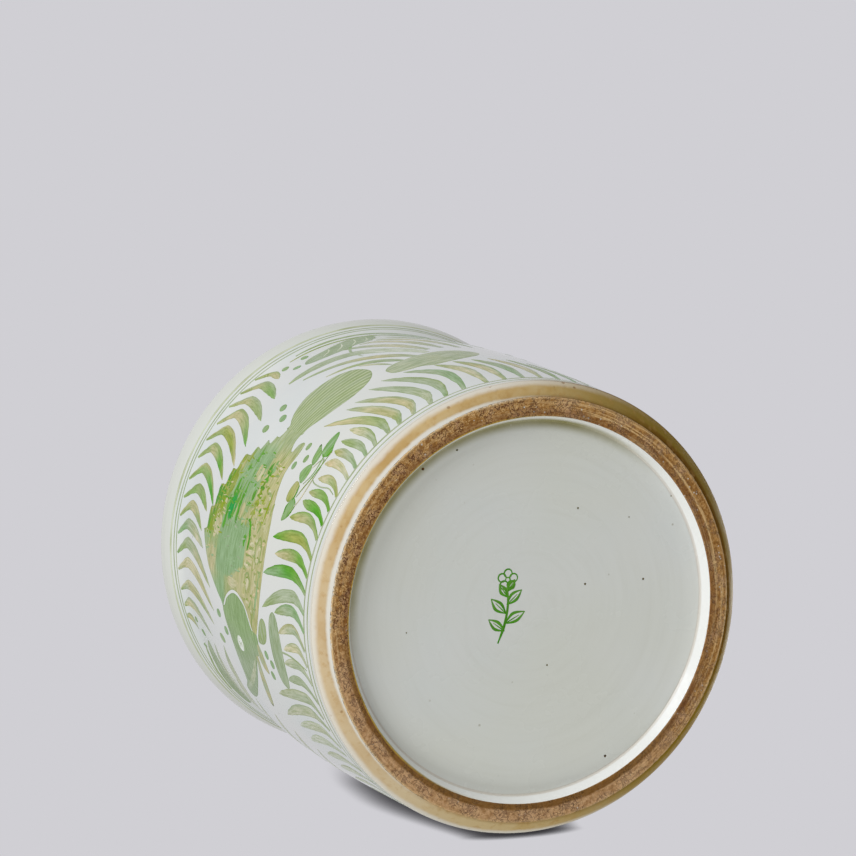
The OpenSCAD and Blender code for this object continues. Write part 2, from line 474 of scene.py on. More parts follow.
def makeHeelClay(inner, outer):
    look = heelLook
    finish = Finish("burntHeelClay", roughness=0.5, IOR=1.15)
    radius = finish.aroundAxis()[0]
    place = finish.place()
    blotch = finish.grain(place, 55.0, detail=3.0)
    coarse = finish.grain(place, 320.0, detail=4.0)
    rings = finish.rings(500.0, 3.0, detail=2.0)
    washAndHighlight = finish.side(footLook["creamHighlightSide"], 0.56, 0.84)
    shadedSide = finish.side(look["shadeFacing"], 0.42, 0.85)
    finish.tone = finish.mix(finish.step(blotch + coarse * 0.3, 0.5, 0.82), look["tan"], look["ochre"])
    finish.lay(finish.step(rings, 0.45, 0.75) * 0.35, look["ochre"])
    finish.lay(finish.side(22.0, 0.78, 0.97) * 0.75, look["rosy"])
    # painted shade: dark olive laid over the heel on the side away from the light, with a painted reddish
    # shadow in the groove by the ring there; the cream hem is left off that side
    finish.lay(shadedSide * 0.95, look["olive"])
    inside = finish.step(radius + (blotch - 0.5) * 0.0012, inner + 0.0026, inner + 0.0012)
    grooveShadow = inside * shadedSide * finish.side(205.0, 0.8, 0.95)
    finish.lay(grooveShadow * 0.7, look["red"])
    # pale cream against the ring on the side towards the light, partly a wash and partly painted highlight,
    # and a creamy hem where the glaze begins
    finish.lay(washAndHighlight * finish.step(blotch, 0.3, 0.7, 0.2, 0.55), look["brown"])
    finish.lay(finish.step(coarse, 0.5, 0.72) * 0.45, look["brown"])
    wander = (blotch - 0.5) * 0.0009 + (coarse - 0.5) * 0.0006
    reach = finish.side(75.0, 0.75, 0.97) * 0.0009 + inner + 0.0004
    creamBand = finish.step(radius + wander - reach, 0.0006, -0.0005)
    finish.lay(creamBand * washAndHighlight, look["cream"])
    hem = finish.step(radius + wander * 1.6, outer - 0.0023, outer - 0.0005)
    finish.lay(hem * (1 - shadedSide) * 0.85, look["cream"])
    # painted shadow: a dark red line in the groove beside the ring, on the shaded side
    groove = finish.step(radius, inner + 0.0006, inner + 0.0001)
    finish.lay(groove * shadedSide * 0.3, look["red"])
    pits = finish.cells(place, 210.0)
    rare = finish.grain(place, 85.0, detail=0.0)
    spot = finish.step(pits, 0.2, 0.09) * finish.step(rare, 0.57, 0.63)
    finish.lay(spot * (1 - creamBand * washAndHighlight) * 0.6, look["pit"])
    normal = finish.bump(coarse * 0.6 + rings * 0.3 - spot, 0.35, 0.0003)
    return finish.wear(finish.step(blotch, 0.3, 0.7, 0.42, 0.6), normal)


whiteClayLook = {"pale": shade(222, 216, 203), "warm": shade(206, 198, 180), "grain": shade(186, 172, 148)}


def makeWhiteClay():
    look = whiteClayLook
    finish = Finish("firedWhiteClay", roughness=0.7, IOR=1.45)
    place = finish.place()
    coarse = finish.grain(place, 500.0, detail=4.0)
    blotch = finish.grain(place, 35.0, detail=3.0)
    finish.tone = finish.mix(finish.step(blotch, 0.35, 0.65), look["pale"], look["warm"])
    finish.lay(finish.step(coarse, 0.58, 0.72) * 0.5, look["grain"])
    return finish.wear(finish.step(coarse, 0.3, 0.7, 0.6, 0.85), finish.bump(coarse, 0.5, 0.0002))


enamelLook = {
    "darker": shade(204, 216, 176),         # the first two multiply the mark's own colour
    "paler": (1.34, 1.24, 1.38),
    "bare": shade(222, 224, 210),
    "combed": shade(198, 203, 168),
}


def makeEnamel(name, streakDepth, dryness, comb=0.0):
    # brushed enamel: each mark brings its own colour, its grain along the brush and its edge
    look = enamelLook
    finish = Finish(name, roughness=0.3, IOR=1.12)
    colour = finish.mark("paint", output=0)
    grain = finish.mark("grain", output=1)
    edge = finish.mark("edge")
    streak = finish.grain(grain, 1.0, detail=3.0, rough=0.6)
    fine = finish.grain(finish.stretched(grain, (1.6, 3.4, 1.0)), 1.0, detail=2.0)
    cloud = finish.grain(finish.place(), 120.0, detail=3.0)
    darker = finish.mix(1.0, colour, look["darker"], blend="MULTIPLY")
    paler = finish.mix(1.0, colour, look["paler"], blend="MULTIPLY")
    finish.tone = finish.mix(finish.step(streak, 0.44, 0.66) * streakDepth, colour, darker)
    finish.lay(finish.step(streak, 0.46, 0.28) * streakDepth, paler)
    finish.lay(finish.step(fine, 0.6, 0.8) * dryness, look["bare"])
    if comb:
        across = finish.split(grain)[1]
        teeth = finish.maths("SINE", across * comb + streak * 1.2)
        broken = finish.step(fine, 0.3, 0.6, 0.3, 0.9)
        finish.lay(finish.step(teeth, 0.2, 0.95) * broken, look["combed"])
        finish.lay(finish.step(teeth, 0.0, -0.9) * 0.5, darker)
    # enamel gathers along the edge of a mark
    finish.lay(finish.step(edge, 0.55, 0.05) * 0.6, darker)
    normal = finish.bump(streak + cloud * 0.5, 0.25, 0.00006)
    return finish.wear(finish.step(cloud, 0.3, 0.7, 0.2, 0.34), normal)


def finishMesh(name, places, faces, finish, marks=None):
    mesh = bpy.data.meshes.new(name)
    mesh.from_pydata(places, [], faces)
    for markName, (kind, field, values) in (marks or {}).items():
        layer = mesh.attributes.new(markName, kind, "POINT")
        layer.data.foreach_set(field, [number for value in values for number in value])
    work = bmesh.new()
    work.from_mesh(mesh)
    bmesh.ops.recalc_face_normals(work, faces=work.faces)
    work.to_mesh(mesh)
    work.free()
    for face in mesh.polygons:
        face.use_smooth = True
    mesh.set_sharp_from_angle(angle=math.radians(62))
    mesh.materials.append(finish.material)
    mesh.update()
    piece = bpy.data.objects.new(name, mesh)
    scene.collection.objects.link(piece)
    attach(piece, "root")
    return piece


def turned(name, line, steps, finish, nodeName, shift=None):
    # spins a closed outline of (radius, height) points; a point on the axis becomes one vertex
    places, faces, index = [], [], {}
    for i in range(steps):
        angle = 2 * math.pi * i / steps
        for j, (radius, height) in enumerate(line):
            if radius < 1e-7:
                if (0, j) not in index:
                    index[(0, j)] = len(places)
                    places.append((0.0, 0.0, height))
                index[(i, j)] = index[(0, j)]
                continue
            outward, upward = shift(radius, height, angle) if shift else (0.0, 0.0)
            index[(i, j)] = len(places)
            reach = radius + outward
            places.append((reach * math.cos(angle), reach * math.sin(angle), height + upward))
    onAxis = line[0][0] < 1e-7 and line[-1][0] < 1e-7
    count = len(line) - 1 if onAxis else len(line)
    for i in range(steps):
        for j in range(count):
            k = (j + 1) % len(line)
            corners = [index[(i, j)], index[((i + 1) % steps, j)],
                       index[((i + 1) % steps, k)], index[(i, k)]]
            kept = [c for n, c in enumerate(corners) if c != corners[n - 1]]
            if len(kept) > 2:
                faces.append(kept)
    piece = finishMesh(name, places, faces, finish)
    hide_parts(nodeName)
    return piece


def evenly(start, end, step):
    # points from start to end, no further apart than the step
    length = math.dist(start, end)
    count = max(1, math.ceil(length / step))
    return [tuple(mixed(a, b, i / count) for a, b in zip(start, end)) for i in range(count)]


def path(corners, step):
    made = []
    for start, end in zip(corners, corners[1:]):
        made += evenly(start, end, step)
    return made + [corners[-1]]


def rounded(before, corner, after, reach, steps=5):
    # a corner of an outline softened into a small curve
    first = Vector(corner) + (Vector(before) - Vector(corner)).normalized() * reach
    last = Vector(corner) + (Vector(after) - Vector(corner)).normalized() * reach
    made = []
    for i in range(steps + 1):
        t = i / steps
        point = first * (1 - t) ** 2 + Vector(corner) * 2 * t * (1 - t) + last * t ** 2
        made.append((point.x, point.y))
    return made


footRows = ringRows("foot_ring")
heelRows = ringRows("heel_ring")
glazeRows = ringRows("outer_glaze")
lipRows = ringRows("lip_glaze")
insideRows = ringRows("inner_glaze")
recessRows = ringRows("recess_glaze")

footInner, footOuter = footRows[0][1], footRows[0][2]
bareEdge = recessRows[0][0]
recessCeiling, recessCorner = recessRows[-2][0], recessRows[-2][2]
glazeLow, glazeHigh = glazeRows[0][0], glazeRows[-1][0]
wallRadius = curveThrough([(row[0], row[2]) for row in glazeRows])
wallMid = wallRadius(mixed(glazeLow, glazeHigh, 0.5))

throwing = {"rings": 0.00004, "lobes": 0.00010, "fineRings": 0.000018}


def wallSwell(height, angle):
    # faint throwing rings, and a wall that isn't quite round
    slow = noise.noise(Vector((height * 95, math.cos(angle) * 0.5, math.sin(angle) * 0.5)))
    quick = noise.noise(Vector((height * 300 + 7, math.cos(angle) * 0.8, math.sin(angle) * 0.8)))
    lobe = noise.noise(Vector((math.cos(angle) * 1.1, math.sin(angle) * 1.1, height * 8 + 3)))
    fade = eased(height, glazeLow, glazeLow + 0.006) * eased(height, glazeHigh, glazeHigh - 0.008)
    return fade * (slow * throwing["rings"] + quick * throwing["fineRings"] + lobe * throwing["lobes"])


footWork = {"steps": 1000, "rowStep": 0.00036, "grooves": 0.00011, "pits": 0.00034, "round": 0.0006}


def footShift(radius, height, angle):
    # grooves from turning, gritty pits and a chipped outer edge, all cut into the clay
    if height > 0.0014 or radius < footInner - 0.0001:
        return 0.0, 0.0
    east, north = math.cos(angle), math.sin(angle)
    groove = noise.noise(Vector((radius * 1500, east * 1.5, north * 1.5)))
    grit = noise.noise(Vector((east * radius * 1100, north * radius * 1100, 3.0)))
    grit2 = noise.noise(Vector((east * radius * 420, north * radius * 420, 9.0)))
    cut = max(groove, 0) * footWork["grooves"] + max(grit + grit2 * 0.6 - 0.15, 0) * footWork["pits"]
    low = eased(height, 0.0014, 0.0004)
    inward = (0.0 if radius < footOuter - 0.0008 else -cut) * low
    return inward, cut * low


def makeFoot(finish):
    # the outline keeps the solid's hidden toe under the slab
    corner = footWork["round"]
    top = footRows[-1]
    slope = [row for row in footRows if bareEdge - 1e-4 < row[0] < top[0] - 1e-4]
    under = path([(footInner + corner, 0.0), (footOuter - corner, 0.0)], footWork["rowStep"])
    outerTurn = rounded((footOuter - 0.003, 0), (footOuter, 0), (footOuter, 0.003), corner)
    innerTurn = rounded((footInner, 0.003), (footInner, 0), (footInner + 0.003, 0), corner * 0.8)
    side = path([(footOuter, corner), (footOuter, 0.0021)], 0.0003)
    line = innerTurn + under[1:-1] + outerTurn + side[1:]
    line += [(footOuter, top[0]), (top[1], top[0])]
    line += [(slope[-1][1], slope[-1][0]), (slope[-1][2], slope[-1][0])]
    line += [(footInner + 0.0003, bareEdge), (footInner, bareEdge)]
    return turned("turned_foot", line, footWork["steps"], finish, "foot_ring", footShift)


heelWork = {"steps": 720, "rowStep": 0.00045, "bulge": 0.00022, "pits": 0.0003}


def washedAt(angle):
    return eased(math.cos(angle - math.radians(footLook["creamHighlightSide"])) * 0.5 + 0.5, 0.56, 0.84)


def heelShift(radius, height, angle):
    # the wash fills the corner beside the ring on one side only
    if height < heelRows[0][0] - 1e-6:
        return 0.0, (heelRows[0][0] - height) * (1 - washedAt(angle))
    east, north = math.cos(angle), math.sin(angle)
    wander = noise.noise(Vector((east * 3, north * 3, height * 300)))
    pit = noise.noise(Vector((east * radius * 700, north * radius * 700, height * 700)))
    cut = max(pit - 0.42, 0) * heelWork["pits"] * 3
    visible = eased(height, glazeLow + 0.0003, glazeLow - 0.0006)
    return visible * (wander * 0.00008 - cut * 0.7), visible * cut * 0.7


def makeHeel(finish):
    low, top = heelRows[0], heelRows[-1]
    edge = (heelRows[-2][2] - 0.0001, heelRows[-2][0])
    ledge = (low[2], low[0])
    start = (low[1], low[0])
    bevel = []
    for i in range(13):
        share = i / 12
        bulge = math.sin(math.pi * share) * heelWork["bulge"]
        run = Vector((edge[0] - ledge[0], edge[1] - ledge[1]))
        outward = Vector((run.y, -run.x)).normalized() * bulge
        bevel.append((ledge[0] + run.x * share + outward.x, ledge[1] + run.y * share + outward.y))
    fill = [(start[0] + out, start[1] + up) for out, up in (
        (0.0, -0.0008), (0.0003, -0.00057), (0.00065, -0.0003), (0.001, -0.00006), (0.0013, 0.00016))]
    line = fill + bevel[1:] + [(edge[0] - 0.0004, edge[1] + 0.0001)]
    line += [(top[2] - 0.0001, top[0]), (top[1], top[0])]
    return turned("bevelled_heel", line, heelWork["steps"], finish, "heel_ring", heelShift)


coatThick = 0.00026             # of the glaze over the lip, the inside and the recess
glazeWork = {"steps": 432, "rowStep": 0.0015, "thick": 0.00028, "roll": 0.00022}


def glazeRoll(height):
    # the glaze gathers in a soft bead where it stops above the heel
    return glazeWork["roll"] * math.exp(-(((height - glazeLow - 0.0011) / 0.0009) ** 2))


def makeOuterGlaze(finish):
    bead = [glazeLow + 0.0002 * i for i in range(1, 13)]
    count = math.ceil((glazeHigh - bead[-1]) / glazeWork["rowStep"])
    heights = bead + [mixed(bead[-1], glazeHigh, i / count) for i in range(1, count + 1)]
    thick = glazeWork["thick"]
    line = [(wallRadius(glazeLow) - 0.0001, glazeLow)]
    line += [(wallRadius(h) + glazeRoll(h), h) for h in heights]
    line += [(wallRadius(h) - thick, h) for h in reversed(heights)]
    line += [(wallRadius(glazeLow) - thick, glazeLow)]

    def shift(radius, height, angle):
        return wallSwell(height, angle), 0.0
    return turned("outer_glaze_coat", line, glazeWork["steps"], finish, "outer_glaze", shift)


def makeLipGlaze(finish):
    # outside of the lip, its crown, and down to where the inside coat begins
    mouth = max(row[2] for row in lipRows)
    crownRow = [row for row in lipRows if row[2] > mouth - 2e-6][0]
    crown = lipRows[-1][0] - crownRow[0]
    middle = mouth - crown
    low = lipRows[0][0]
    outside = curveThrough([(row[0], row[2]) for row in glazeRows[-6:-1]]
                           + [(row[0], row[2]) for row in lipRows if row[0] <= crownRow[0] + 1e-6])
    within = curveThrough([(row[0], row[1]) for row in lipRows if row[0] <= crownRow[0] + 1e-6])
    line = [(outside(h), h) for h in [mixed(low, crownRow[0], i / 8) for i in range(8)]]
    line += [(middle + crown * math.cos(a), crownRow[0] + crown * math.sin(a))
             for a in [math.pi * i / 28 for i in range(29)]]
    line += [(within(h), h) for h in [mixed(crownRow[0], low, i / 8) for i in range(1, 9)]]
    coat = coatThick
    inner = [(within(h) + coat, h) for h in [mixed(low, crownRow[0], i / 3) for i in range(3)]]
    inner += [(middle + (crown - coat) * math.cos(a), crownRow[0] + (crown - coat) * math.sin(a))
              for a in [math.pi * (1 - i / 12) for i in range(13)]]
    inner += [(outside(h) - coat, h) for h in [mixed(crownRow[0], low, i / 3) for i in range(1, 4)]]

    def shift(radius, height, angle):
        up = eased(height, low, low + 0.003)
        wander = noise.noise(Vector((math.cos(angle) * 2, math.sin(angle) * 2, 1.0)))
        return -up * abs(wander) * 0.00012, -up * abs(wander) * 0.00008
    line += inner
    return turned("rolled_lip_glaze", line, glazeWork["steps"], finish, "lip_glaze", shift)


insideWork = {"steps": 288, "rowStep": 0.002, "rings": 0.00012, "spiral": 0.0001}


def makeInsideGlaze(finish):
    # the solid's rows up the wall hold both faces of the coat; below them is the round cove
    upright = [row for row in insideRows if row[2] - row[1] > 0.0002]
    coveTop, floorRow = upright[0], [row for row in insideRows if row[2] == insideRows[0][2]][-1]
    bend = coveTop[0] - floorRow[0]
    cove = [(floorRow[2] + bend * math.sin(a), floorRow[0] + bend * (1 - math.cos(a)))
            for a in [math.pi / 2 * i / 18 for i in range(1, 18)]]
    along = curveThrough([(row[0], row[1]) for row in upright])
    top = upright[-1][0]
    count = math.ceil((top - coveTop[0]) / insideWork["rowStep"])
    heights = [mixed(coveTop[0], top, i / count) for i in range(count + 1)]
    line = [(floorRow[2] * i / 40, floorRow[0]) for i in range(41)] + cove + [(along(h), h) for h in heights]
    coat = coatThick
    back = [(along(h) + coat, h) for h in reversed(heights[::6])]
    back += [(floorRow[2] + (bend + coat) * math.sin(a), floorRow[0] + bend - (bend + coat) * math.cos(a))
             for a in [math.pi / 2 * i / 8 for i in range(7, 0, -1)]]
    back += [(floorRow[2], floorRow[0] - coat), (0.0, floorRow[0] - coat)]

    def shift(radius, height, angle):
        east, north = math.cos(angle), math.sin(angle)
        rings = noise.noise(Vector((height * 160, east * 0.6, north * 0.6)))
        spiral = noise.noise(Vector((radius * 190, east * 0.5, north * 0.5)))
        up = eased(height, floorRow[0] + 0.004, coveTop[0] + 0.004) * eased(height, top, top - 0.006)
        low = eased(height, coveTop[0], floorRow[0] + 0.002) * eased(radius, 0.0, 0.01)
        return rings * insideWork["rings"] * up, spiral * insideWork["spiral"] * low
    line += back
    return turned("inside_glaze_coat", line, insideWork["steps"], finish, "inner_glaze", shift)


recessWork = {"steps": 360, "rowStep": 0.0011, "rings": 0.00004, "swell": 0.00012}


def recessSwell(east, north):
    # the underside's glaze lies a little unevenly over shallow turning rings
    radius = math.hypot(east, north)
    ring = noise.noise(Vector((radius * 260, east * 9, north * 9)))
    slow = noise.noise(Vector((east * 38, north * 38, 5.0)))
    inward = eased(radius, recessCorner - 0.0006, recessCorner - 0.006)
    return (ring * recessWork["rings"] + slow * recessWork["swell"]) * inward


def makeRecess(finish):
    ceiling, corner = recessCeiling, recessCorner
    coat = coatThick
    flat = path([(0.0, ceiling), (corner - 0.0006, ceiling)], recessWork["rowStep"])
    bend = rounded((corner - 0.01, ceiling), (corner, ceiling), (footInner, bareEdge), 0.0004, 4)
    slope = path([bend[-1], (footInner - 0.00004, bareEdge + 0.0003)], 0.0005)
    hem = [(footInner + 0.00002, bareEdge + 0.0001), (footInner + 0.00014, bareEdge)]
    line = flat[:-1] + bend + slope[1:] + hem
    line += [(footInner + coat, bareEdge), (corner + coat, ceiling + coat), (0.0, ceiling + coat)]

    def shift(radius, height, angle):
        if height > ceiling + 0.0001:
            return 0.0, 0.0
        return 0.0, recessSwell(radius * math.cos(angle), radius * math.sin(angle)) * eased(
            height, bareEdge + 0.001, ceiling)
    steps = recessWork["steps"]
    return turned("recess_glaze_coat", line, steps, finish, "recess_glaze", shift)


whiteGlaze = makeWhiteGlaze()
footClay = makeFootClay(footInner, footOuter)
heelClay = makeHeelClay(heelRows[0][1], heelRows[-2][2])
whiteClay = makeWhiteClay()
makeOuterGlaze(whiteGlaze)
makeLipGlaze(whiteGlaze)
makeInsideGlaze(makeInnerGlaze())
makeRecess(makeRecessGlaze(recessCeiling, bareEdge, recessCorner))
makeFoot(footClay)
makeHeel(heelClay)
for hidden in ("wall", "lip", "floor_slab"):
    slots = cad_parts[hidden].material_slots
    for each in slots:
        each.material = whiteClay.material
print("turned pieces made")


degreeRun = wallMid * 1000 * math.pi / 180          # millimetres round the wall for one degree
paintDrop = 1.1                                     # the drawing sits this much lower, in millimetres


def onWall(x, y, lift):
    # a flat point (millimetres round, millimetres up) laid on the wall's glaze
    angle = math.radians(x / degreeRun)
    height = y / 1000
    radius = wallRadius(height) + wallSwell(height, angle) + glazeRoll(height) + lift / 1000
    return (radius * math.cos(angle), radius * math.sin(angle), height)


def underFoot(x, y, lift):
    # a flat point in millimetres laid on the recess, seen from below
    turn = math.radians(sprigLook["up"])
    east = (y * math.cos(turn) - x * math.sin(turn)) / 1000
    north = (y * math.sin(turn) + x * math.cos(turn)) / 1000
    return (east, north, recessCeiling + recessSwell(east, north) - lift / 1000)


class Marks:
    # gathers brush marks that are one piece in the end
    def __init__(self, lay, seed):
        self.lay = lay
        self.chance = random.Random(seed)
        self.places, self.faces = [], []
        self.paint, self.grain, self.edge = [], [], []

    def point(self, x, y, lift, colour, grain, edge):
        self.places.append(self.lay(x, y, lift))
        self.paint.append((*colour, 1.0))
        self.grain.append(grain)
        self.edge.append((edge,))
        return len(self.places) - 1

    def stroke(self, spine, widths, tones, lift=0.07, spacing=1.6, ragged=0.12, edgeTone=None):
        # one pull of the brush along the spine; widths and tones are spread evenly along it
        steps = 6
        line = smoothLine(spine, steps)
        length = sum(math.dist(a, b) for a, b in zip(line, line[1:]))
        rows = max(6, round(length / spacing))
        seed = self.chance.uniform(0, 400)
        rim = max(lift - 0.055, 0.01)
        across = (-1.0, -0.82, -0.42, 0.0, 0.42, 0.82, 1.0)
        height = (0.0, 0.62, 0.95, 1.0, 0.95, 0.62, 0.0)
        grid = []
        for i in range(rows + 1):
            t = i / rows
            place = t * (len(line) - 1)
            k = min(int(place), len(line) - 2)
            x = mixed(line[k][0], line[k + 1][0], place - k)
            y = mixed(line[k][1], line[k + 1][1], place - k)
            before, after = line[max(k - 2, 0)], line[min(k + 3, len(line) - 1)]
            run = Vector((after[0] - before[0], after[1] - before[1])).normalized()
            side = Vector((-run.y, run.x))
            half = spread(widths, t) / 2
            colour = spreadColour(tones, t)
            row = []
            for u, rise in zip(across, height):
                wobble = noise.noise(Vector((t * length * 0.35, u * 2, seed))) * ragged * abs(u)
                reach = half * u + wobble * min(half, 1.0)
                mid = 1 - min(abs(u), 1)
                tone = blended(colour, spreadColour(tones, min(1.0, t + 0.12 * (u + 1))), 0.4)
                if edgeTone:
                    lean = u if line[-1][1] > line[0][1] else -u
                    tone = blended(tone, edgeTone, eased(-lean, 0.1, 0.9) * 0.8)
                row.append(self.point(
                    x + side.x * reach, y + side.y * reach, mixed(rim, lift, rise), tone,
                    (t * length * 0.16, u * half * 1.1, seed), min(mid * 2.2, 1.0)))
            grid.append(row)
        self.skin(grid)

    def skin(self, grid):
        # closes the rows of a mark: its top, a flat underside and both ends
        for lower, upper in zip(grid, grid[1:]):
            for a, b, c, d in zip(lower, lower[1:], upper[1:], upper):
                self.faces.append((a, b, c, d))
            self.faces.append((lower[-1], lower[0], upper[0], upper[-1]))
        self.faces.append(tuple(reversed(grid[0])))
        self.faces.append(tuple(grid[-1]))

    def patch(self, outline, toneAt, lift=0.07, spacing=1.5, grainAt=None, soft=1.3):
        # a filled shape inside a closed flat outline
        rim = []
        for start, end in zip(outline, outline[1:] + outline[:1]):
            rim += evenly(start, end, spacing)
        inside = []
        xs, ys = [p[0] for p in rim], [p[1] for p in rim]
        rowsHigh = spacing * 0.87
        j = 0
        y = min(ys)
        while y < max(ys):
            x = min(xs) + (spacing / 2 if j % 2 else 0)
            while x < max(xs):
                if isInside(x, y, rim) and edgeGap(x, y, rim) > spacing * 0.55:
                    inside.append((x, y))
                x += spacing
            y += rowsHigh
            j += 1
        flat = [Vector(p) for p in rim + inside]
        verts, _, faces, origin, _, _ = delaunay_2d_cdt(flat, [], [list(range(len(rim)))], 1, 1e-5)
        seed = self.chance.uniform(0, 400)
        top, under = [], []
        for place, sources in zip(verts, origin):
            onRim = any(s < len(rim) for s in sources)
            gap = 0.0 if onRim else edgeGap(place.x, place.y, rim)
            rise = eased(gap, 0.0, soft)
            grain = grainAt(place.x, place.y) if grainAt else (place.x * 0.16, place.y * 1.0)
            tone = toneAt(place.x, place.y)
            full = (grain[0], grain[1], seed)
            top.append(self.point(place.x, place.y, mixed(0.01, lift, rise), tone, full, min(gap / 1.2, 1)))
            under.append(top[-1] if onRim else self.point(place.x, place.y, -0.12, tone, full, 1.0))
        for face in faces:
            self.faces.append(tuple(top[i] for i in face))
            self.faces.append(tuple(under[i] for i in reversed(face)))

    def piece(self, name, finish, slotName):
        marks = {
            "paint": ("FLOAT_COLOR", "color", self.paint),
            "grain": ("FLOAT_VECTOR", "vector", self.grain),
            "edge": ("FLOAT", "value", self.edge),
        }
        return finishMesh(name, self.places, self.faces, finish, marks)


def spread(values, t):
    place = t * (len(values) - 1)
    i = min(int(place), len(values) - 2)
    return mixed(values[i], values[i + 1], eased(place - i))


def spreadColour(tones, t):
    if len(tones) == 1:
        return tones[0]
    place = t * (len(tones) - 1)
    i = min(int(place), len(tones) - 2)
    return blended(tones[i], tones[i + 1], place - i)


def isInside(x, y, rim):
    inside = False
    for (ax, ay), (bx, by) in zip(rim, rim[1:] + rim[:1]):
        if (ay > y) != (by > y) and x < (bx - ax) * (y - ay) / (by - ay) + ax:
            inside = not inside
    return inside


def edgeGap(x, y, rim):
    best = 1e9
    for (ax, ay), (bx, by) in zip(rim, rim[1:] + rim[:1]):
        dx, dy = bx - ax, by - ay
        size = dx * dx + dy * dy
        t = 0.0 if size == 0 else min(max(((x - ax) * dx + (y - ay) * dy) / size, 0.0), 1.0)
        best = min(best, (x - ax - t * dx) ** 2 + (y - ay - t * dy) ** 2)
    return math.sqrt(best)


def flat(points, turn=0.0):
    # (degrees, millimetres up) as flat millimetres
    return [((p[0] + turn) * degreeRun, p[1] - paintDrop) for p in points]


enamels = {
    "sage": fired(142, 170, 128),
    "head": fired(143, 167, 120),
    "headGrey": fired(152, 168, 138),
    "moss": fired(152, 168, 116),
    "olive": fired(156, 164, 92),
    "tan": fired(186, 180, 140),
    "beige": fired(198, 193, 162),
    "rose": fired(199, 184, 148),
    "leaf": fired(104, 158, 62),
    "vivid": fired(88, 158, 48),
    "emerald": fired(50, 155, 76),
    "deep": fired(90, 148, 18),
    "mustard": fired(138, 156, 30),
    "fern": fired(132, 166, 96),
    "grey": fired(166, 177, 150),
    "line": fired(166, 174, 142),
    "band": fired(184, 188, 162),
    "mist": fired(197, 202, 186),
    "pale": fired(206, 210, 192),
    "white": fired(224, 227, 224),
    "scale": fired(146, 158, 92),
}

frondLook = {
    "fat": 5.6,                     # greatest width of a frond in millimetres
    "step": 1.5,                    # length between the rows of its surface
}

# fronds below the mouth: start, bulge and tip, each in degrees and height, then the tones from
# start to tip and along the leading edge
upperFronds = [
    (26, 179.6, 27.4, 177.5, 22.8, 172.6, "moss tan grey", "grey"),
    (29.4, 178.8, 32.2, 172, 24.4, 146, "moss beige beige grey grey", "grey"),
    (34, 178.8, 37.6, 167, 29.6, 133, "moss grey tan moss grey", "beige"),
    (39.5, 178.8, 44, 165, 34, 127.6, "grey tan beige tan moss", "beige"),
    (44, 178.8, 49.4, 166, 40, 129, "sage moss grey tan moss", "grey"),
    (49.2, 178.8, 54.3, 168, 49, 141, "sage sage grey beige grey", "grey"),
    (54, 178.8, 59.3, 168, 53, 146.6, "moss moss tan moss fern", "tan"),
    (59, 178.8, 64.2, 165, 58.4, 144, "moss fern moss fern olive", "moss"),
    (64, 178.8, 69.9, 167, 60.4, 135.6, "moss fern moss vivid vivid", "tan"),
    (70.2, 178.4, 75.9, 168, 67.6, 135.4, "moss moss tan vivid olive", "moss"),
    (75.3, 178.8, 81.5, 166, 72, 127.6, "moss moss olive mustard tan", "tan"),
    (80.4, 178.4, 87.2, 165, 77.8, 127, "moss tan tan moss vivid", "moss"),
    (86, 178.8, 91.8, 166, 85.6, 130.6, "moss tan moss moss", "grey"),
    (90.6, 179, 97.7, 168, 92.8, 138.6, "moss tan moss fern fern", "grey"),
    (96, 179, 101.6, 172, 99.4, 161, "moss tan tan", "moss"),
]

# fronds above the heel, in the same way
lowerFronds = [
    (7, 18, 10.5, 35, 5.5, 58, "grey mist mist", "mist"),
    (9.6, 17, 15.5, 28, 10.5, 58, "grey band mist", "mist"),
    (15, 17, 20.2, 30, 12.5, 68, "grey band band", "grey"),
    (18.4, 17, 24.5, 27, 19.5, 63, "grey grey band", "band"),
    (23, 15, 28.7, 28, 26, 42, "grey grey grey", "grey"),
    (28, 15, 33.2, 26, 30.5, 41, "grey grey band", "band"),
    (32.6, 15.6, 37.6, 24, 34.4, 38.4, "grey beige beige", "band"),
    (36.6, 15.6, 42.2, 26, 38.2, 42, "grey grey beige", "tan"),
    (41.4, 14.6, 46.8, 27, 43, 45, "sage sage grey moss", "sage"),
    (46, 14.6, 50.6, 27, 42.9, 58.4, "sage grey grey moss", "grey"),
    (51, 14.6, 55.8, 32, 51.4, 58.8, "grey fern vivid sage sage", "leaf"),
    (55, 15, 60, 30, 57, 50, "fern leaf tan tan", "fern"),
    (59.4, 14.6, 64.6, 31, 60.6, 56, "moss olive olive vivid", "fern"),
    (64.5, 15, 69.6, 30, 66.7, 46.4, "moss moss tan olive", "fern"),
    (68.2, 15, 72.6, 30, 71.6, 40.9, "deep vivid fern moss", "fern"),
    (72, 15, 76, 28.4, 74.2, 39.5, "leaf fern moss tan", "fern"),
    (76, 15, 80.2, 28.4, 78.1, 38.1, "olive moss beige tan", "tan"),
    (81, 15, 84.5, 33, 82.1, 40.9, "grey beige rose tan", "beige"),
    (84.4, 15, 87.7, 32, 86, 40.9, "sage grey tan olive", "grey"),
    (88.3, 15, 91.2, 28.4, 89, 42.2, "sage grey moss moss", "grey"),
    (91.7, 15, 95, 30, 92.7, 44.5, "grey grey beige beige", "moss"),
    (96.2, 15, 99.2, 30, 90.6, 66.2, "grey grey moss tan tan", "moss"),
    (99.7, 15, 103.2, 28, 97.2, 62.5, "grey moss tan tan grey", "grey"),
    (104, 15, 107.8, 30, 100, 63, "grey tan tan grey", "grey"),
    (109, 15, 112.5, 30, 105.2, 66.6, "grey band grey grey", "grey"),
    (113.4, 15, 117.4, 36.7, 109.3, 68.5, "sage grey grey grey", "moss"),
    (118.4, 15, 122.6, 43, 115, 66, "grey sage grey grey", "sage"),
]
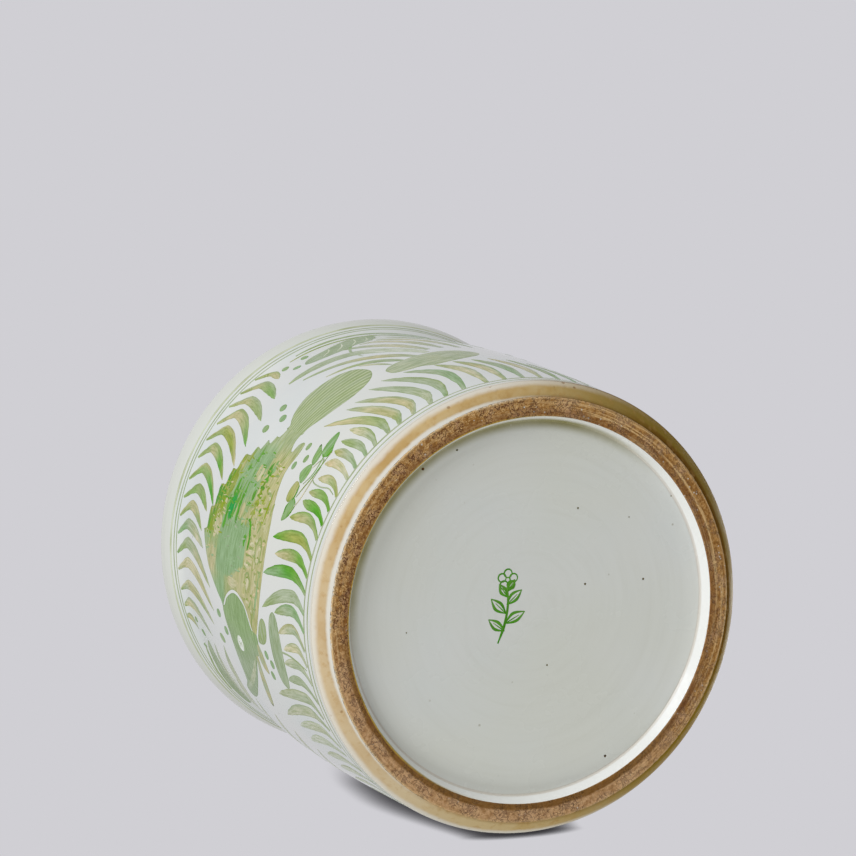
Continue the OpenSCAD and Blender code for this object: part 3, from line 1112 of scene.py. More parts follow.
# where the palest fronds bulge, on round the side away from the fish's tail
paleBulges = (5.5, 0.5, -4.5, -9.5, -14.5, -19.5, -24.5)


def tonesOf(words):
    return [enamels[word] for word in words.split()]


def frond(marks, numbers, turn, fat, foot):
    # a comma-shaped pull: blunt at the line, full as it turns, then drawn out to a tip
    startAt, startUp, bulgeAt, bulgeUp, tipAt, tipUp, tones, edgeTone = numbers
    short = abs(tipUp - startUp)
    wide = fat * marks.chance.uniform(0.96, 1.04) * mixed(0.62, 1.0, eased(short, 8, 44))
    belly = bulgeAt - wide / 2 / degreeRun
    points = [(startAt, startUp)]
    points += [(mixed(startAt, belly, 1 - (1 - t) ** 2), mixed(startUp, bulgeUp, t))
               for t in (0.3, 0.65, 1.0)]
    points += [(mixed(belly, tipAt, t ** 1.6), mixed(bulgeUp, tipUp, t)) for t in (0.3, 0.55, 0.8, 1.0)]
    widths = [foot, wide * 0.5, wide * 0.8, wide * 0.97, wide, wide * 0.86, wide * 0.55, 0.4]
    marks.stroke(flat(points, turn), widths, tonesOf(tones),
                 spacing=frondLook["step"], edgeTone=enamels[edgeTone])


def otherFrond(at, chance):
    # an upright band on a side of the pot that has no fish
    away = eased(at, 125, 185)
    tall = mixed(62, 46, eased(at, 128, 190)) + chance.uniform(-2, 2)
    tones = " ".join(chance.choice(("grey", "sage", "grey", "beige", "moss", "tan")) for _ in range(4))
    return (at, 15, at + 2.9, mixed(40, 28, away), at - mixed(2.2, 4.0, away), tall,
            tones, chance.choice(("sage", "grey", "grey")))


def ellipse(centreAt, centreUp, halfLong, halfHigh, tilt=0.0, steps=36):
    # a round mark in flat millimetres
    made = []
    c, s = math.cos(math.radians(tilt)), math.sin(math.radians(tilt))
    for i in range(steps):
        a = 2 * math.pi * i / steps
        x, y = math.cos(a) * halfLong, math.sin(a) * halfHigh
        made.append((centreAt * degreeRun + x * c - y * s, centreUp - paintDrop + x * s + y * c))
    return made


fishLook = {
    "head": [(37, 110.8), (38, 107.4), (39.8, 104.6), (41.3, 100), (42.3, 95), (42.3, 90), (41.4, 84.8),
             (40.2, 80.8), (37.8, 77.8), (35.6, 75.6), (34.9, 74), (35.6, 71), (34.4, 69.2), (32.4, 69),
             (29.4, 70.6), (28.4, 73.4), (27.6, 76.2), (24, 81), (19.6, 88.6), (15.8, 97.2), (12.8, 105.2),
             (11.1, 112.6), (11.4, 117.6), (12.8, 118.4), (14.2, 116.4), (15.6, 112.4), (17.2, 109),
             (20, 107), (24, 106.2), (28, 106.6), (31, 107.8), (34, 109.8)],
    "back": [(37, 110.4), (38.4, 112), (39.5, 115), (41, 118.6), (42.8, 123), (45, 128.6), (47.6, 133.2),
             (50.2, 137.2), (52.6, 140.6), (54, 142.4)],
    "spines": [(54.6, 138.9), (55.4, 138), (57.6, 138.4), (60.3, 138.6), (60.6, 135), (61.4, 134),
             (64, 134.2), (66.7, 134.4), (67, 129.2), (67.6, 128.2), (69.8, 127.7), (71.6, 127.4),
             (71.7, 123), (72.6, 122), (76, 121.2), (76.3, 118), (76.4, 115), (77.2, 114), (79, 113),
             (79, 110.4), (78.8, 108.2), (80.2, 107), (81.8, 106), (81.2, 103.6), (81.2, 101.8),
             (82.4, 101), (83.5, 100.3), (83.4, 98), (84.4, 96.4), (86, 95.8)],
    "tailRoot": [(88.6, 97), (88.6, 79.6)],
    "belly": [(86, 79.4), (84.4, 79.6), (82.8, 78.6), (81.4, 76.8), (81.6, 75.2), (83.6, 74.2),
             (84.7, 71.6), (84.2, 69), (81.4, 68.4), (78.6, 69.4), (75.6, 70), (71, 67.6), (67, 64.8),
             (63, 62), (58, 60.2), (52, 59.5), (47, 60.5), (42.4, 62.5), (38.6, 65), (35.8, 67.6),
             (34.2, 69.8), (34, 72.4)],
    "gill": [(35.8, 74.6), (38.9, 77.4), (40.9, 80.8), (42.2, 84.8), (43.1, 90), (43.1, 95), (42.2, 100),
             (40.6, 104.8), (38.8, 107.9)],
    "tail": [(86, 95.6), (87.4, 96.4), (89.9, 101.6), (94.7, 106.6), (99.5, 108.1), (105, 107.2),
             (109, 103), (110.7, 96.8), (111.3, 88.8), (109.8, 80.8), (106.6, 74.3), (101.8, 70.8),
             (97.1, 71.5), (92.3, 74.2), (88.3, 78.2), (86, 79.6)],
    "jaw": [(12.6, 86.6), (14.4, 86.2), (16.5, 84.3), (21.2, 81), (25.2, 78.2), (28.2, 77), (28.6, 74.4),
             (27, 74), (23.5, 74.6), (20, 76), (16.5, 79), (13.7, 82.6), (12.4, 85)],
    "throat": [(24.7, 65.2), (24.9, 68), (26.3, 70.8), (28, 72.4), (30, 73.4), (33, 72), (32.2, 69.2),
             (29.8, 66.6), (27.5, 65.5)],
    "fin": [(33, 67.9), (32.7, 63.5), (33.6, 59.2), (35.6, 56.7), (38.2, 56.3), (39.6, 58.2), (39.6, 61.1),
             (37.9, 64), (35.6, 66.2)],
    "beak": [(13.2, 115.4), (15.6, 107.4), (18.4, 98.4), (21.4, 90), (24.4, 83.6), (27.6, 78)],
    "eye": (29.4, 94, 4.35, 4.4),
}


def bodyTone(turn):
    # sage flank and shoulder, mustard back, tan belly, each breaking into the next in streaks
    def at(x, y):
        degrees = x / degreeRun - turn
        streak = noise.noise(Vector((x * 0.09, y * 0.6, turn)))
        fine = noise.noise(Vector((x * 0.2, y * 1.4, turn + 9)))
        ragged = streak * 0.55 + fine * 0.3
        tone = blended(enamels["tan"], enamels["olive"], eased(ragged, -0.25, 0.4) * 0.6)
        tone = blended(tone, enamels["beige"], eased(fine, 0.1, 0.5) * 0.5)
        tone = blended(tone, enamels["moss"], eased(y, 84, 104) * 0.6)
        # shoulder: sage rim with a tan heart
        shoulder = eased(degrees + ragged * 4, 58, 50) * eased(y, 102, 108)
        heart = math.exp(-((degrees - 48) / 4.2) ** 2 - ((y - 124.5) / 9) ** 2)
        heartTone = blended(enamels["sage"], enamels["tan"], min(heart * 1.3 + ragged * 0.4 * heart, 1))
        tone = blended(tone, heartTone, shoulder)
        back = eased(y + ragged * 12, 113, 121) * eased(degrees + ragged * 8, 51, 58)
        golden = blended(enamels["tan"], enamels["mustard"], eased(ragged, -0.3, 0.1))
        tone = blended(tone, golden, back)
        rear = eased(degrees + ragged * 8, 60, 68) * eased(y + ragged * 5, 85, 89) * eased(
            y + ragged * 5 + (degrees - 64) * 0.6, 122, 114)
        tone = blended(tone, enamels["sage"], rear)
        # flat flank patch with a ragged lower left edge
        across = (degrees - 53.5 + ragged * 1.5) / 8.0
        lowEdge = 81.0 + max(0, 50.5 - degrees) * 4.0 + ragged * 4
        flank = eased(across, -1.02, -0.9) * eased(across, 1.15, 0.8) * eased(y, lowEdge - 0.6, lowEdge + 0.8)
        tone = blended(tone, enamels["sage"], flank * eased(y + ragged * 4, 120, 115))
        root = eased(degrees, 77, 84)
        return blended(tone, blended(enamels["grey"], enamels["olive"], 0.3 + ragged * 0.5), root)
    return at


# what was brushed over the flank: (points, width, colours)
flankMarks = [
    # upper back
    ([(53.6, 136.2), (56.5, 136), (60, 136.2)], 3.6, "mustard deep mustard"),
    ([(54.4, 132.4), (57.2, 132.2), (60.4, 132.6)], 4.6, "mustard mustard deep"),
    ([(56, 129), (59, 129.2), (61.4, 128.6)], 3.4, "olive mustard deep"),
    ([(61.4, 132.4), (64, 132.4), (66.4, 132.2)], 4.2, "deep deep deep"),
    ([(61.6, 128.2), (64, 128.6), (66.4, 128.4)], 4.4, "mustard deep deep"),
    ([(61, 122.6), (63, 124.4), (66, 124.6)], 5, "mustard mustard deep"),
    ([(66.6, 125.4), (69.2, 126), (71.4, 125.8)], 3.8, "deep deep mustard"),
    ([(66.8, 122.4), (69.4, 122.6), (71.4, 122.8)], 3.6, "deep mustard deep"),
    ([(66, 118.4), (68.4, 117.4), (70.8, 118.4)], 4.4, "mustard olive mustard"),
    ([(71.8, 120.4), (74, 120.2), (75.8, 119.8)], 2.6, "mustard olive mustard"),
    ([(71.8, 116.2), (73.4, 117.2), (75.4, 115.8)], 3.6, "mustard tan olive"),
    ([(74.6, 113), (76.8, 112.6), (78.6, 112)], 3, "mustard olive fern"),
    ([(53.6, 125.6), (56, 124.4), (59.6, 125.2)], 5, "tan beige tan"),
    ([(54.6, 121), (57, 120), (59.6, 121)], 4.4, "beige tan tan"),
    ([(62.6, 119.2), (64.6, 118.4)], 3.2, "tan beige"),
    ([(47.6, 129.4), (50.4, 127.6), (52.8, 128.4)], 3.4, "moss tan moss"),
    # green heart of the flank
    ([(56.8, 114.8), (59.2, 114.6), (62, 114)], 3.4, "deep vivid deep"),
    ([(61.4, 115.4), (63, 114.8), (64.8, 113.4)], 2.6, "leaf vivid leaf"),
    ([(59.6, 108.8), (61.6, 110), (64.6, 109.8), (67.4, 109)], 6.4, "vivid emerald emerald vivid"),
    ([(61.6, 113), (63.6, 112.8), (65, 112.6)], 1.8, "emerald emerald vivid"),
    ([(61.2, 106), (63.4, 105.6), (65.4, 106.2)], 1.8, "vivid emerald leaf"),
    ([(65.4, 112), (67.8, 111.8), (70.2, 111.4)], 3.6, "deep deep leaf"),
    ([(60.8, 107.4), (62.4, 106)], 2.8, "leaf fern"),
    ([(65.6, 108.6), (68, 108.2), (70, 107.8)], 2, "leaf deep fern"),
    ([(72.6, 108.8), (73.6, 108), (74.6, 107.6)], 3.2, "leaf deep fern"),
    ([(63, 104.2), (66.6, 104.4), (70.4, 103.8)], 2, "fern leaf fern"),
    ([(58.6, 100.8), (61, 101.2), (64, 101.6), (66.6, 100.8), (70.2, 100.4)], 3,
     "deep deep vivid deep leaf"),
    ([(71.6, 100), (75, 99.8)], 1.6, "leaf fern"),
    ([(74.6, 104), (77.4, 103.4), (80.2, 103.8)], 1.6, "fern leaf fern"),
    # bare tan breaks with small dark touches
    ([(60.4, 97.4), (62.6, 96.6), (65, 97.2)], 4.2, "moss tan tan"),
    ([(59.6, 92.8), (62.4, 92), (66, 92.6)], 4.6, "moss tan moss moss"),
    ([(60.2, 88.6), (63, 88.8), (65.4, 88.4)], 3, "olive tan moss"),
    ([(71.2, 96.6), (73.4, 95.6), (75.4, 96.4)], 3.8, "moss tan tan"),
    ([(71, 92.4), (73.2, 92), (75.6, 92.6)], 3.8, "tan beige tan"),
    ([(71.6, 89), (73.4, 88.6), (75, 89)], 2.2, "moss tan moss"),
    ([(44.8, 103), (45.2, 99), (44.8, 94), (45.6, 88)], 4.4, "moss tan beige tan"),
    ([(59.4, 93.2), (60.3, 91.8)], 2.3, "deep leaf"),
    ([(61.9, 93.4), (63.2, 92)], 2, "olive leaf"),
    ([(64.7, 93.8), (65.5, 91.2)], 2.6, "deep vivid"),
    ([(66.2, 90.2), (69.2, 89.4)], 2.3, "deep leaf"),
    ([(69.6, 93.2), (71.4, 92.2)], 2.6, "leaf deep"),
    ([(72.4, 90.8), (73.4, 89.2)], 1.9, "olive deep"),
    # dark dashes between flank and belly
    ([(60.6, 84.2), (66, 83.2), (70, 84.2), (74, 83.8), (77.4, 84.8)], 2,
     "mustard olive mustard deep fern"),
    ([(74.2, 82), (76, 81.6), (78, 82.2)], 3.2, "fern sage fern"),
    ([(55, 85.4), (56.6, 85.8), (57.9, 84.6)], 3.2, "leaf vivid leaf"),
    ([(54.4, 80.4), (57, 80.2), (59.6, 81.6), (61.2, 83.4), (61.8, 86.2)], 2.5, "deep deep vivid deep"),
    ([(62.9, 86.2), (64, 84.4), (63.6, 81.6)], 2.2, "mustard olive mustard"),
    ([(65.8, 81), (66.2, 83.6), (65.8, 86.2)], 3.4, "mustard mustard olive"),
    ([(67.9, 81), (68.3, 83.6), (67.9, 86.2)], 2.8, "deep mustard deep"),
    ([(70.1, 86.4), (70.4, 84.2), (70.2, 81.8)], 2.2, "deep deep leaf"),
    ([(72, 81.8), (72.4, 84), (72, 86.2)], 3, "leaf vivid vivid"),
    ([(73.8, 85.2), (75.4, 85.6), (77, 85.2)], 2.8, "deep deep leaf"),
    ([(73.6, 82.2), (75.6, 82.4)], 1.6, "deep leaf"),
    ([(64.6, 78.2), (65.2, 76.2)], 2.8, "mustard deep"),
    ([(66.6, 78), (68.8, 77)], 2.4, "mustard olive"),
    ([(69.8, 78), (71, 77)], 2, "olive mustard"),
    ([(62.8, 70.4), (65.2, 70), (67.2, 70.6), (71, 70.6)], 2.2, "olive mustard mustard olive"),
    ([(64.6, 64.6), (66.4, 65.6), (68, 65.4)], 1.3, "moss olive"),
    # long pale scales of the belly, with darker lines between
    ([(52.2, 67.6), (53.4, 70.4), (56.6, 71), (58.6, 68.4), (57.4, 65.4), (54.2, 64.8), (52.4, 66.8)], 1.5,
     "scale moss scale moss"),
    ([(53.8, 67.8), (55.4, 68.4), (57, 67.6)], 2.6, "beige beige tan"),
    ([(44.2, 77), (45.4, 79), (48.4, 78.8), (49.2, 75.8), (47, 73.4), (44.6, 74.2)], 1.2,
     "scale moss scale"),
    ([(45, 76.6), (48, 76)], 2.8, "beige beige"),
    ([(50.6, 79.4), (50.9, 75.8), (50.6, 72.4)], 2, "beige beige rose"),
    ([(52.4, 80), (52.6, 76.4), (52.3, 73)], 1.9, "beige rose beige"),
    ([(54.2, 78.8), (54.5, 75.6), (54.2, 72.8)], 2, "rose beige beige"),
    ([(56.2, 78), (56.5, 75.4), (56.2, 73.2)], 1.9, "beige beige"),
    ([(51.5, 79.4), (51.7, 76), (51.4, 72.4)], 0.9, "scale moss scale"),
    ([(53.3, 79.6), (53.6, 76), (53.3, 72.4)], 0.9, "moss scale"),
    ([(55.3, 78.6), (55.5, 76), (55.3, 73)], 0.9, "scale moss"),
    ([(60, 75.4), (62, 76.6), (63.6, 75.4)], 2.2, "beige beige tan"),
    ([(59.4, 73.4), (61.6, 71.8), (63.8, 72.4)], 1.1, "moss scale"),
    ([(38.6, 70), (41.6, 67.4), (46, 65), (51, 62.6)], 1.6, "moss sage moss"),
    ([(36.4, 73.6), (39.6, 71.2), (43, 70.2)], 1.6, "scale moss"),
    ([(40.6, 75.6), (42, 72.6), (44.8, 70.2)], 1.4, "scale moss scale"),
    ([(44.6, 71.6), (47, 69), (50, 67.4)], 1.8, "beige tan beige"),
    ([(60.6, 66.8), (63.4, 66.6), (66, 67.6)], 2, "beige tan beige"),
    ([(76.4, 80.4), (79, 78.6), (81.6, 78.4)], 1.3, "moss scale moss"),
]

twigMarks = [
    ([(68, 47.8), (71.9, 43.9), (76.3, 42.5), (81, 42)], 0.8, "beige beige moss"),
    ([(71.6, 48.5), (74.6, 46), (78, 43.6), (81.3, 42.7), (85.6, 42.3)], 0.8, "moss olive vivid olive"),
    ([(75.2, 48.3), (78.5, 44.8), (82.9, 45.5), (84, 47.8)], 0.7, "grey fern leaf"),
    ([(79.8, 48.6), (81.8, 46.6), (83, 44.2), (81.6, 42.8)], 0.8, "beige grey moss"),
    ([(65.6, 50.8), (66.8, 48.4), (68.4, 46.8), (69.8, 46.2), (71, 48.6)], 0.8, "fern deep deep leaf"),
    ([(66.8, 53.2), (68.4, 53.6), (69.6, 52.6)], 0.9, "leaf deep leaf"),
    ([(70.6, 50.6), (72.4, 49.8), (74.6, 50.6)], 0.9, "vivid deep leaf"),
    ([(83.8, 43.8), (84.8, 43.4), (86, 43)], 1.5, "vivid leaf"),
    ([(77.7, 43.2), (76.6, 39.5), (76.4, 32), (76.9, 24.8), (76, 18.3)], 0.6, "moss grey moss"),
]

# outline in degrees and heights of each leaf and fin, with its main tone and its second
leafMarks = [
    ([(23, 46.8), (24.4, 51.2), (28.6, 53), (33.4, 53.4), (38.4, 52.8), (41.6, 50.6), (42.8, 47.2),
     (41.4, 43.6), (37.6, 41.6), (32.6, 41), (27.4, 41.8), (24.2, 43.6)], "headGrey", "grey"),
    ([(107, 153.4), (107.4, 158), (109.4, 161.4), (113.8, 163.4), (118.5, 167.4), (122.5, 170.7),
     (126.5, 172.7), (129.7, 171.3), (129.9, 164.7), (127.3, 156.7), (124.9, 152.7), (120.9, 150.7),
     (117.7, 147.4), (113.8, 147.4), (109.8, 149.2)], "headGrey", "grey"),
    ([(113, 75.5), (113.4, 79.5), (115.4, 82.8), (119.3, 84.8), (124.9, 86.8), (130.6, 87), (135.4, 84),
     (138, 77), (136, 69.6), (131, 64.4), (125.7, 62.2), (122.5, 62.2), (120.1, 65.5), (117, 66.8),
     (113.8, 70.1)], "grey", "band"),
    ([(-3.6, 177.6), (3, 178), (9, 176.6), (14.4, 173.4), (18.4, 168.6), (20.8, 161.8), (17, 161.6),
     (12, 163.4), (6.4, 166.6), (0.8, 170.6), (-3.4, 174)], "headGrey", "grey"),
    ([(65, 53.4), (66.8, 54), (69.4, 53.4), (71.4, 51), (71, 48.4), (69.4, 47), (67.6, 47.6), (65.8, 50)],
     "sage", "fern"),
    ([(69.8, 53), (70.2, 56.6), (72.4, 57.4), (75.2, 55.4), (75, 51.6), (73.4, 49.8), (71.4, 50.2)],
     "olive", "tan"),
    ([(75.4, 52.4), (77.4, 56.4), (79.6, 54.4), (80.6, 51.2), (79.4, 48.8), (77, 48.8), (75.4, 50.2)],
     "sage", "fern"),
    ([(80.4, 49.8), (81.4, 53.2), (83.8, 55), (86.2, 55.8), (85.2, 52.4), (84, 49.4), (82, 48.6)], "sage",
     "fern"),
    ([(83.4, 47), (84.6, 50.4), (87.6, 51.8), (90.8, 50.8), (90.2, 48), (87.6, 45.2), (85.4, 42.4),
     (83.8, 43.6)], "sage", "leaf"),
]

# dots in clusters: direction, height, half width and half height in millimetres
dotMarks = [
    (84.1, 118.1, 2, 3.2), (91.1, 118.8, 2, 3.2), (88.4, 109.4, 2, 3.2), (103.3, 168.3, 1.9, 2.7),
    (109.4, 168, 1.9, 2.7), (104.9, 158.4, 1.9, 2.7), (27.1, 123.5, 2.1, 3.7), (34.4, 119.2, 1.9, 2.9),
    (30.5, 112.6, 2, 2.7), (24.8, 60.8, 2, 2.1), (30.2, 61.6, 2, 2.1), (28.2, 57.2, 2, 2.1),
    (78.5, 65.9, 1.95, 1.85), (84.3, 64.6, 1.95, 1.85), (81.2, 59.3, 1.95, 1.85), (25.9, 170.9, 1.5, 1.8),
    (22.7, 165.6, 1.8, 2.5), (17.6, 174.3, 1.2, 1.5), (152, 98, 2, 2.6), (157, 97, 2, 2.6),
    (154.6, 90.5, 2, 2.6),
]

# long ribbons of weed between the fish: (points, widths, tones)
weedMarks = [
    ([(98.5, 141.4), (103, 140.8), (108, 138.4), (113, 134), (117, 127), (120, 118), (123, 108),
     (125.6, 98), (127, 89)], (2.2, 7, 9.6, 9.4, 8, 7, 6, 5, 3), "moss grey grey mist mist"),
    ([(101, 131.4), (105.8, 125.6), (111.4, 118.4), (116.2, 108.8), (120.1, 98.2), (123.3, 86)], (1.6, 3.4,
     4.4, 4.8, 4.5, 2.6), "moss grey tan grey"),
    ([(104.2, 114.1), (109.8, 108.8), (114.6, 100.8), (117.7, 91.5), (119.7, 83.5)], (0.9, 3, 4, 3.6, 1.6),
     "beige moss grey grey"),
    ([(111.4, 103), (113.4, 97.4), (115, 91), (116.2, 84.4)], (0.6, 1.8, 2, 0.8), "beige grey"),
    ([(116.8, 147.6), (120.6, 139.4), (125.7, 118), (128.9, 95.4)], (1.2, 4.9, 5.3, 2.4),
     "moss grey beige grey"),
    ([(121.6, 148.4), (125.9, 144.4), (130.5, 122), (132.9, 96.8)], (1.2, 4.9, 5.3, 2.4),
     "grey beige grey"),
    ([(127.2, 152), (131.2, 143.4), (135.4, 122), (137.4, 96)], (1.2, 4.9, 5.3, 2.4), "moss beige grey"),
    ([(131.6, 158), (137, 146), (140.2, 128), (141.8, 100)], (1.2, 4.9, 5.2, 1.8), "grey moss grey"),
    ([(133, 170), (141.6, 158), (146, 140), (147.4, 110)], (1.2, 4.9, 5.2, 1.6), "grey sage grey"),
    ([(108.6, 176.2), (118, 176.6), (132, 175.4), (146, 171.4), (160, 163)], (0.7, 1.6, 1.8, 2.2, 0.8),
     "moss grey sage"),
    ([(106, 173.4), (112, 173.6), (122, 173), (136, 169.6), (149, 161.6), (160, 149)], (0.9, 1.6, 1.8, 2.6,
     3, 1), "olive moss sage"),
    ([(143.6, 164.4), (151, 152), (155, 136), (156, 112)], (1, 4.6, 5, 1.4), "moss grey grey"),
    ([(-16, 172), (-6, 169), (4, 164.8), (13, 157.6), (21.6, 149)], (2, 4.8, 5.4, 5, 1.4),
     "mist mist band grey"),
    ([(-16, 159), (-4, 152), (6, 143.6), (12, 139)], (2, 5.4, 5, 1.2), "mist mist band"),
    ([(-14, 148), (-3, 141.6), (8, 135), (16, 131.6), (24.3, 127.2)], (2.4, 6.4, 9, 9.4, 1.2),
     "mist mist band grey"),
    ([(-16, 134), (-6, 127), (4, 120.6), (10, 116.4)], (2, 5.6, 5, 1), "mist band mist"),
    ([(-18, 119), (-9, 112), (0, 104), (8, 95.6)], (2, 5.6, 5.2, 1), "mist mist band"),
    ([(-20, 103), (-11, 96.4), (-3, 88.6), (5, 80)], (2, 5.6, 5, 1), "mist mist band"),
    ([(-22, 87), (-13, 80), (-6, 72.6), (1, 64.6)], (2, 5.4, 4.8, 1), "band mist mist"),
    ([(2, 179.2), (9, 178.4), (16, 175.2), (18.6, 173.2)], (0.6, 1.3, 1.6, 0.5), "moss grey"),
    ([(33.4, 41.6), (33.4, 34), (32.8, 26), (31.6, 17)], (0.9, 0.9, 0.8, 0.5), "grey moss"),
    ([(119.3, 150), (117, 139.4), (115.8, 128.7), (115.8, 117)], (1.8, 1.3, 1, 0.4), "fern grey grey"),
]

# strokes scraped or left pale inside leaves
paleMarks = [
    ([(111.6, 151.6), (114.4, 157), (115.6, 163)], 0.8),
    ([(115.6, 150.4), (118.6, 158), (120, 166)], 0.8),
    ([(120.4, 152.6), (123, 160), (124.2, 169)], 0.8),
    ([(124.6, 155), (126.6, 161), (127.6, 168)], 0.7),
]


# how far each kind of mark stands off the glaze, in millimetres
lifts = {"weed": 0.06, "leaf": 0.1, "twig": 0.13, "scraped": 0.14, "dot": 0.08, "body": 0.08,
         "flank": 0.115, "streak": 0.125, "scale": 0.1, "scaleLine": 0.11, "fin": 0.09, "head": 0.1,
         "beak": 0.12, "tail": 0.105, "eye": 0.15, "pupil": 0.18}


def paintPanel(turn, seed):
    # one fish with the weeds on either side of it, turned round the pot
    print("painting the side at", turn, "degrees")
    chance = random.Random(seed)
    tag = "_a" if turn == 0 else "_b"
    borders = Marks(onWall, seed + 1)
    for numbers in upperFronds:
        frond(borders, numbers, turn, frondLook["fat"], 1.1)
    others = [otherFrond(124.6 + 4.85 * i, chance) for i in range(6)]
    others += [(at - 3.4, 15, at, 30, at - 3.6, 50, "grey mist mist", "band") for at in paleBulges]
    for numbers in lowerFronds + others:
        frond(borders, numbers, turn, frondLook["fat"] * 0.97, 1.9)
    borders.piece("weed_borders" + tag, enamel, "green_enamel")

    weeds = Marks(onWall, seed + 2)
    for points, widths, tones in weedMarks:
        weeds.stroke(flat(points, turn), widths, tonesOf(tones), lift=lifts["weed"])
    for points, tone, second in leafMarks:
        outline = smoothLine(flat(points, turn), 4, closed=True)

        def leafTone(x, y, tone=tone, second=second):
            share = noise.noise(Vector((x * 0.14, y * 0.35, turn))) * 0.8 + 0.4
            return blended(enamels[tone], enamels[second], min(max(share, 0), 1))
        weeds.patch(outline, leafTone, lift=lifts["leaf"], spacing=1.5, soft=1.0)
    for points, width, tones in twigMarks:
        weeds.stroke(flat(points, turn), [width * 0.6, width, width, width * 0.5],
                     tonesOf(tones), lift=lifts["twig"], spacing=1.2)
    for points, width in paleMarks:
        weeds.stroke(flat(points, turn), [0.3, width, width, 0.3], [enamels["pale"]],
                     lift=lifts["scraped"], spacing=1.2)
    for x, y, wide, high in dotMarks:
        outline = ellipse(x + turn, y, wide, high, chance.uniform(-14, 14), 18)
        tone = blended(enamels["sage"], enamels["moss"], chance.uniform(0, 0.6))
        weeds.patch(outline, lambda px, py, tone=tone: tone, lift=lifts["dot"], spacing=1.0, soft=0.8)
    weeds.piece("leaves_and_weeds" + tag, enamel, "green_enamel")

    fish = Marks(onWall, seed + 3)
    look = fishLook
    smooth = smoothLine(flat(look["back"], turn), 3)
    outline = smooth + smoothLine(flat(look["spines"], turn), 2) + flat(look["tailRoot"], turn)
    outline += smoothLine(flat(look["belly"], turn), 2) + smoothLine(flat(look["gill"], turn), 3)
    fish.patch(outline, bodyTone(turn), lift=lifts["body"], spacing=1.25)
    for points, width, tones in flankMarks:
        fish.stroke(flat(points, turn), [width * 0.5, width, width * 0.95, width * 0.45], tonesOf(tones),
                    lift=lifts["flank"], spacing=0.9, ragged=1.2)
    paintStreaks(fish, turn, outline)
    paintScales(fish, turn, outline)
    headLine = smoothLine(flat(look["head"], turn), 3, closed=True)

    def headTone(x, y):
        share = eased(x / degreeRun - turn + 4 * noise.noise(Vector((x * 0.06, y * 0.06, turn))), 24, 35)
        return blended(enamels["headGrey"], enamels["head"], share)
    for part, first, second in (("jaw", "grey", "tan"), ("throat", "tan", "grey"), ("fin", "moss", "grey")):
        line = smoothLine(flat(look[part], turn), 3, closed=True)
        fish.patch(line, lambda x, y, first=first, second=second: blended(
            enamels[first], enamels[second], eased(noise.noise(Vector((x * 0.2, y * 0.5, turn))), -0.3, 0.3)),
            lift=lifts["fin"], soft=1.0)
    fish.patch(headLine, headTone, lift=lifts["head"])
    fish.stroke(flat(look["beak"], turn), [2.4, 3.6, 3.6, 3.2, 2.4, 0.8],
                [enamels["headGrey"], enamels["grey"], enamels["band"], enamels["grey"]], lift=lifts["beak"])
    fish.piece("fish" + tag, enamel, "green_enamel")

    tail = Marks(onWall, seed + 4)
    rootX, rootY = (62.0 + turn) * degreeRun, 88.6 - paintDrop

    def fan(x, y):
        reach = math.hypot(x - rootX, y - rootY)
        return reach * 0.1, math.atan2(y - rootY, x - rootX) * 34

    def tailTone(x, y):
        share = noise.noise(Vector((x * 0.05, y * 0.2, turn + 4))) * 0.5 + 0.5
        return blended(enamels["moss"], enamels["grey"], share)
    tailLine = smoothLine(flat(look["tail"], turn), 3, closed=True)
    tail.patch(tailLine, tailTone, lift=lifts["tail"], spacing=1.4, grainAt=fan)
    tail.piece("fish_tail" + tag, tailEnamel, "green_enamel")

    eye = Marks(onWall, seed + 5)
    at, up, wide, high = look["eye"]
    eye.patch(ellipse(at + turn, up, wide, high), lambda x, y: enamels["white"],
              lift=lifts["eye"], spacing=1.0)
    for points in ([(28.2, 95.4), (29.2, 93.8), (30.0, 92.2)], [(29.9, 95.6), (29.2, 94.2)]):
        eye.stroke(flat(points, turn), [0.3, 0.7, 0.3], [enamels["grey"]], lift=lifts["pupil"], spacing=0.7)
    eye.piece("fish_eye" + tag, enamel, "outer_glaze")


# where the dry touches lie: from and to in degrees, from and to in height, how many, tones
streakAreas = [
    (46, 54, 120, 136, 12, "moss tan sage"),
    (54, 62, 117, 137, 26, "deep olive mustard tan"),
    (62, 72, 115, 130, 34, "deep mustard olive deep tan"),
    (71, 81, 108, 120, 20, "olive moss mustard"),
    (58, 80, 87, 112, 44, "sage fern leaf sage"),
    (46, 60, 84, 112, 26, "sage headGrey"),
    (60, 78, 70, 88, 30, "olive moss tan mustard"),
]


def touch(centre, lean, rise):
    # the three points of a short upright touch of the brush
    return [(centre[0] - lean, centre[1] - rise), centre, (centre[0] + lean, centre[1] + rise)]


def paintStreaks(fish, turn, outline):
    # short upright touches of a nearly dry brush over the back and the flank
    chance = random.Random(17 + int(turn))
    for left, right, low, high, count, tones in streakAreas:
        for _ in range(count):
            x, y = chance.uniform(left, right), chance.uniform(low, high)
            long, lean = chance.uniform(2.0, 5.0), chance.uniform(-0.4, 0.4)
            centre, tone = flat([(x, y)], turn)[0], enamels[chance.choice(tones.split())]
            if isInside(*centre, outline) and edgeGap(*centre, outline) > long * 0.6:
                fish.stroke(touch(centre, lean, long / 2), [0.3, chance.uniform(0.7, 1.3), 0.3], [tone],
                            lift=lifts["streak"], spacing=0.9, ragged=0.6)


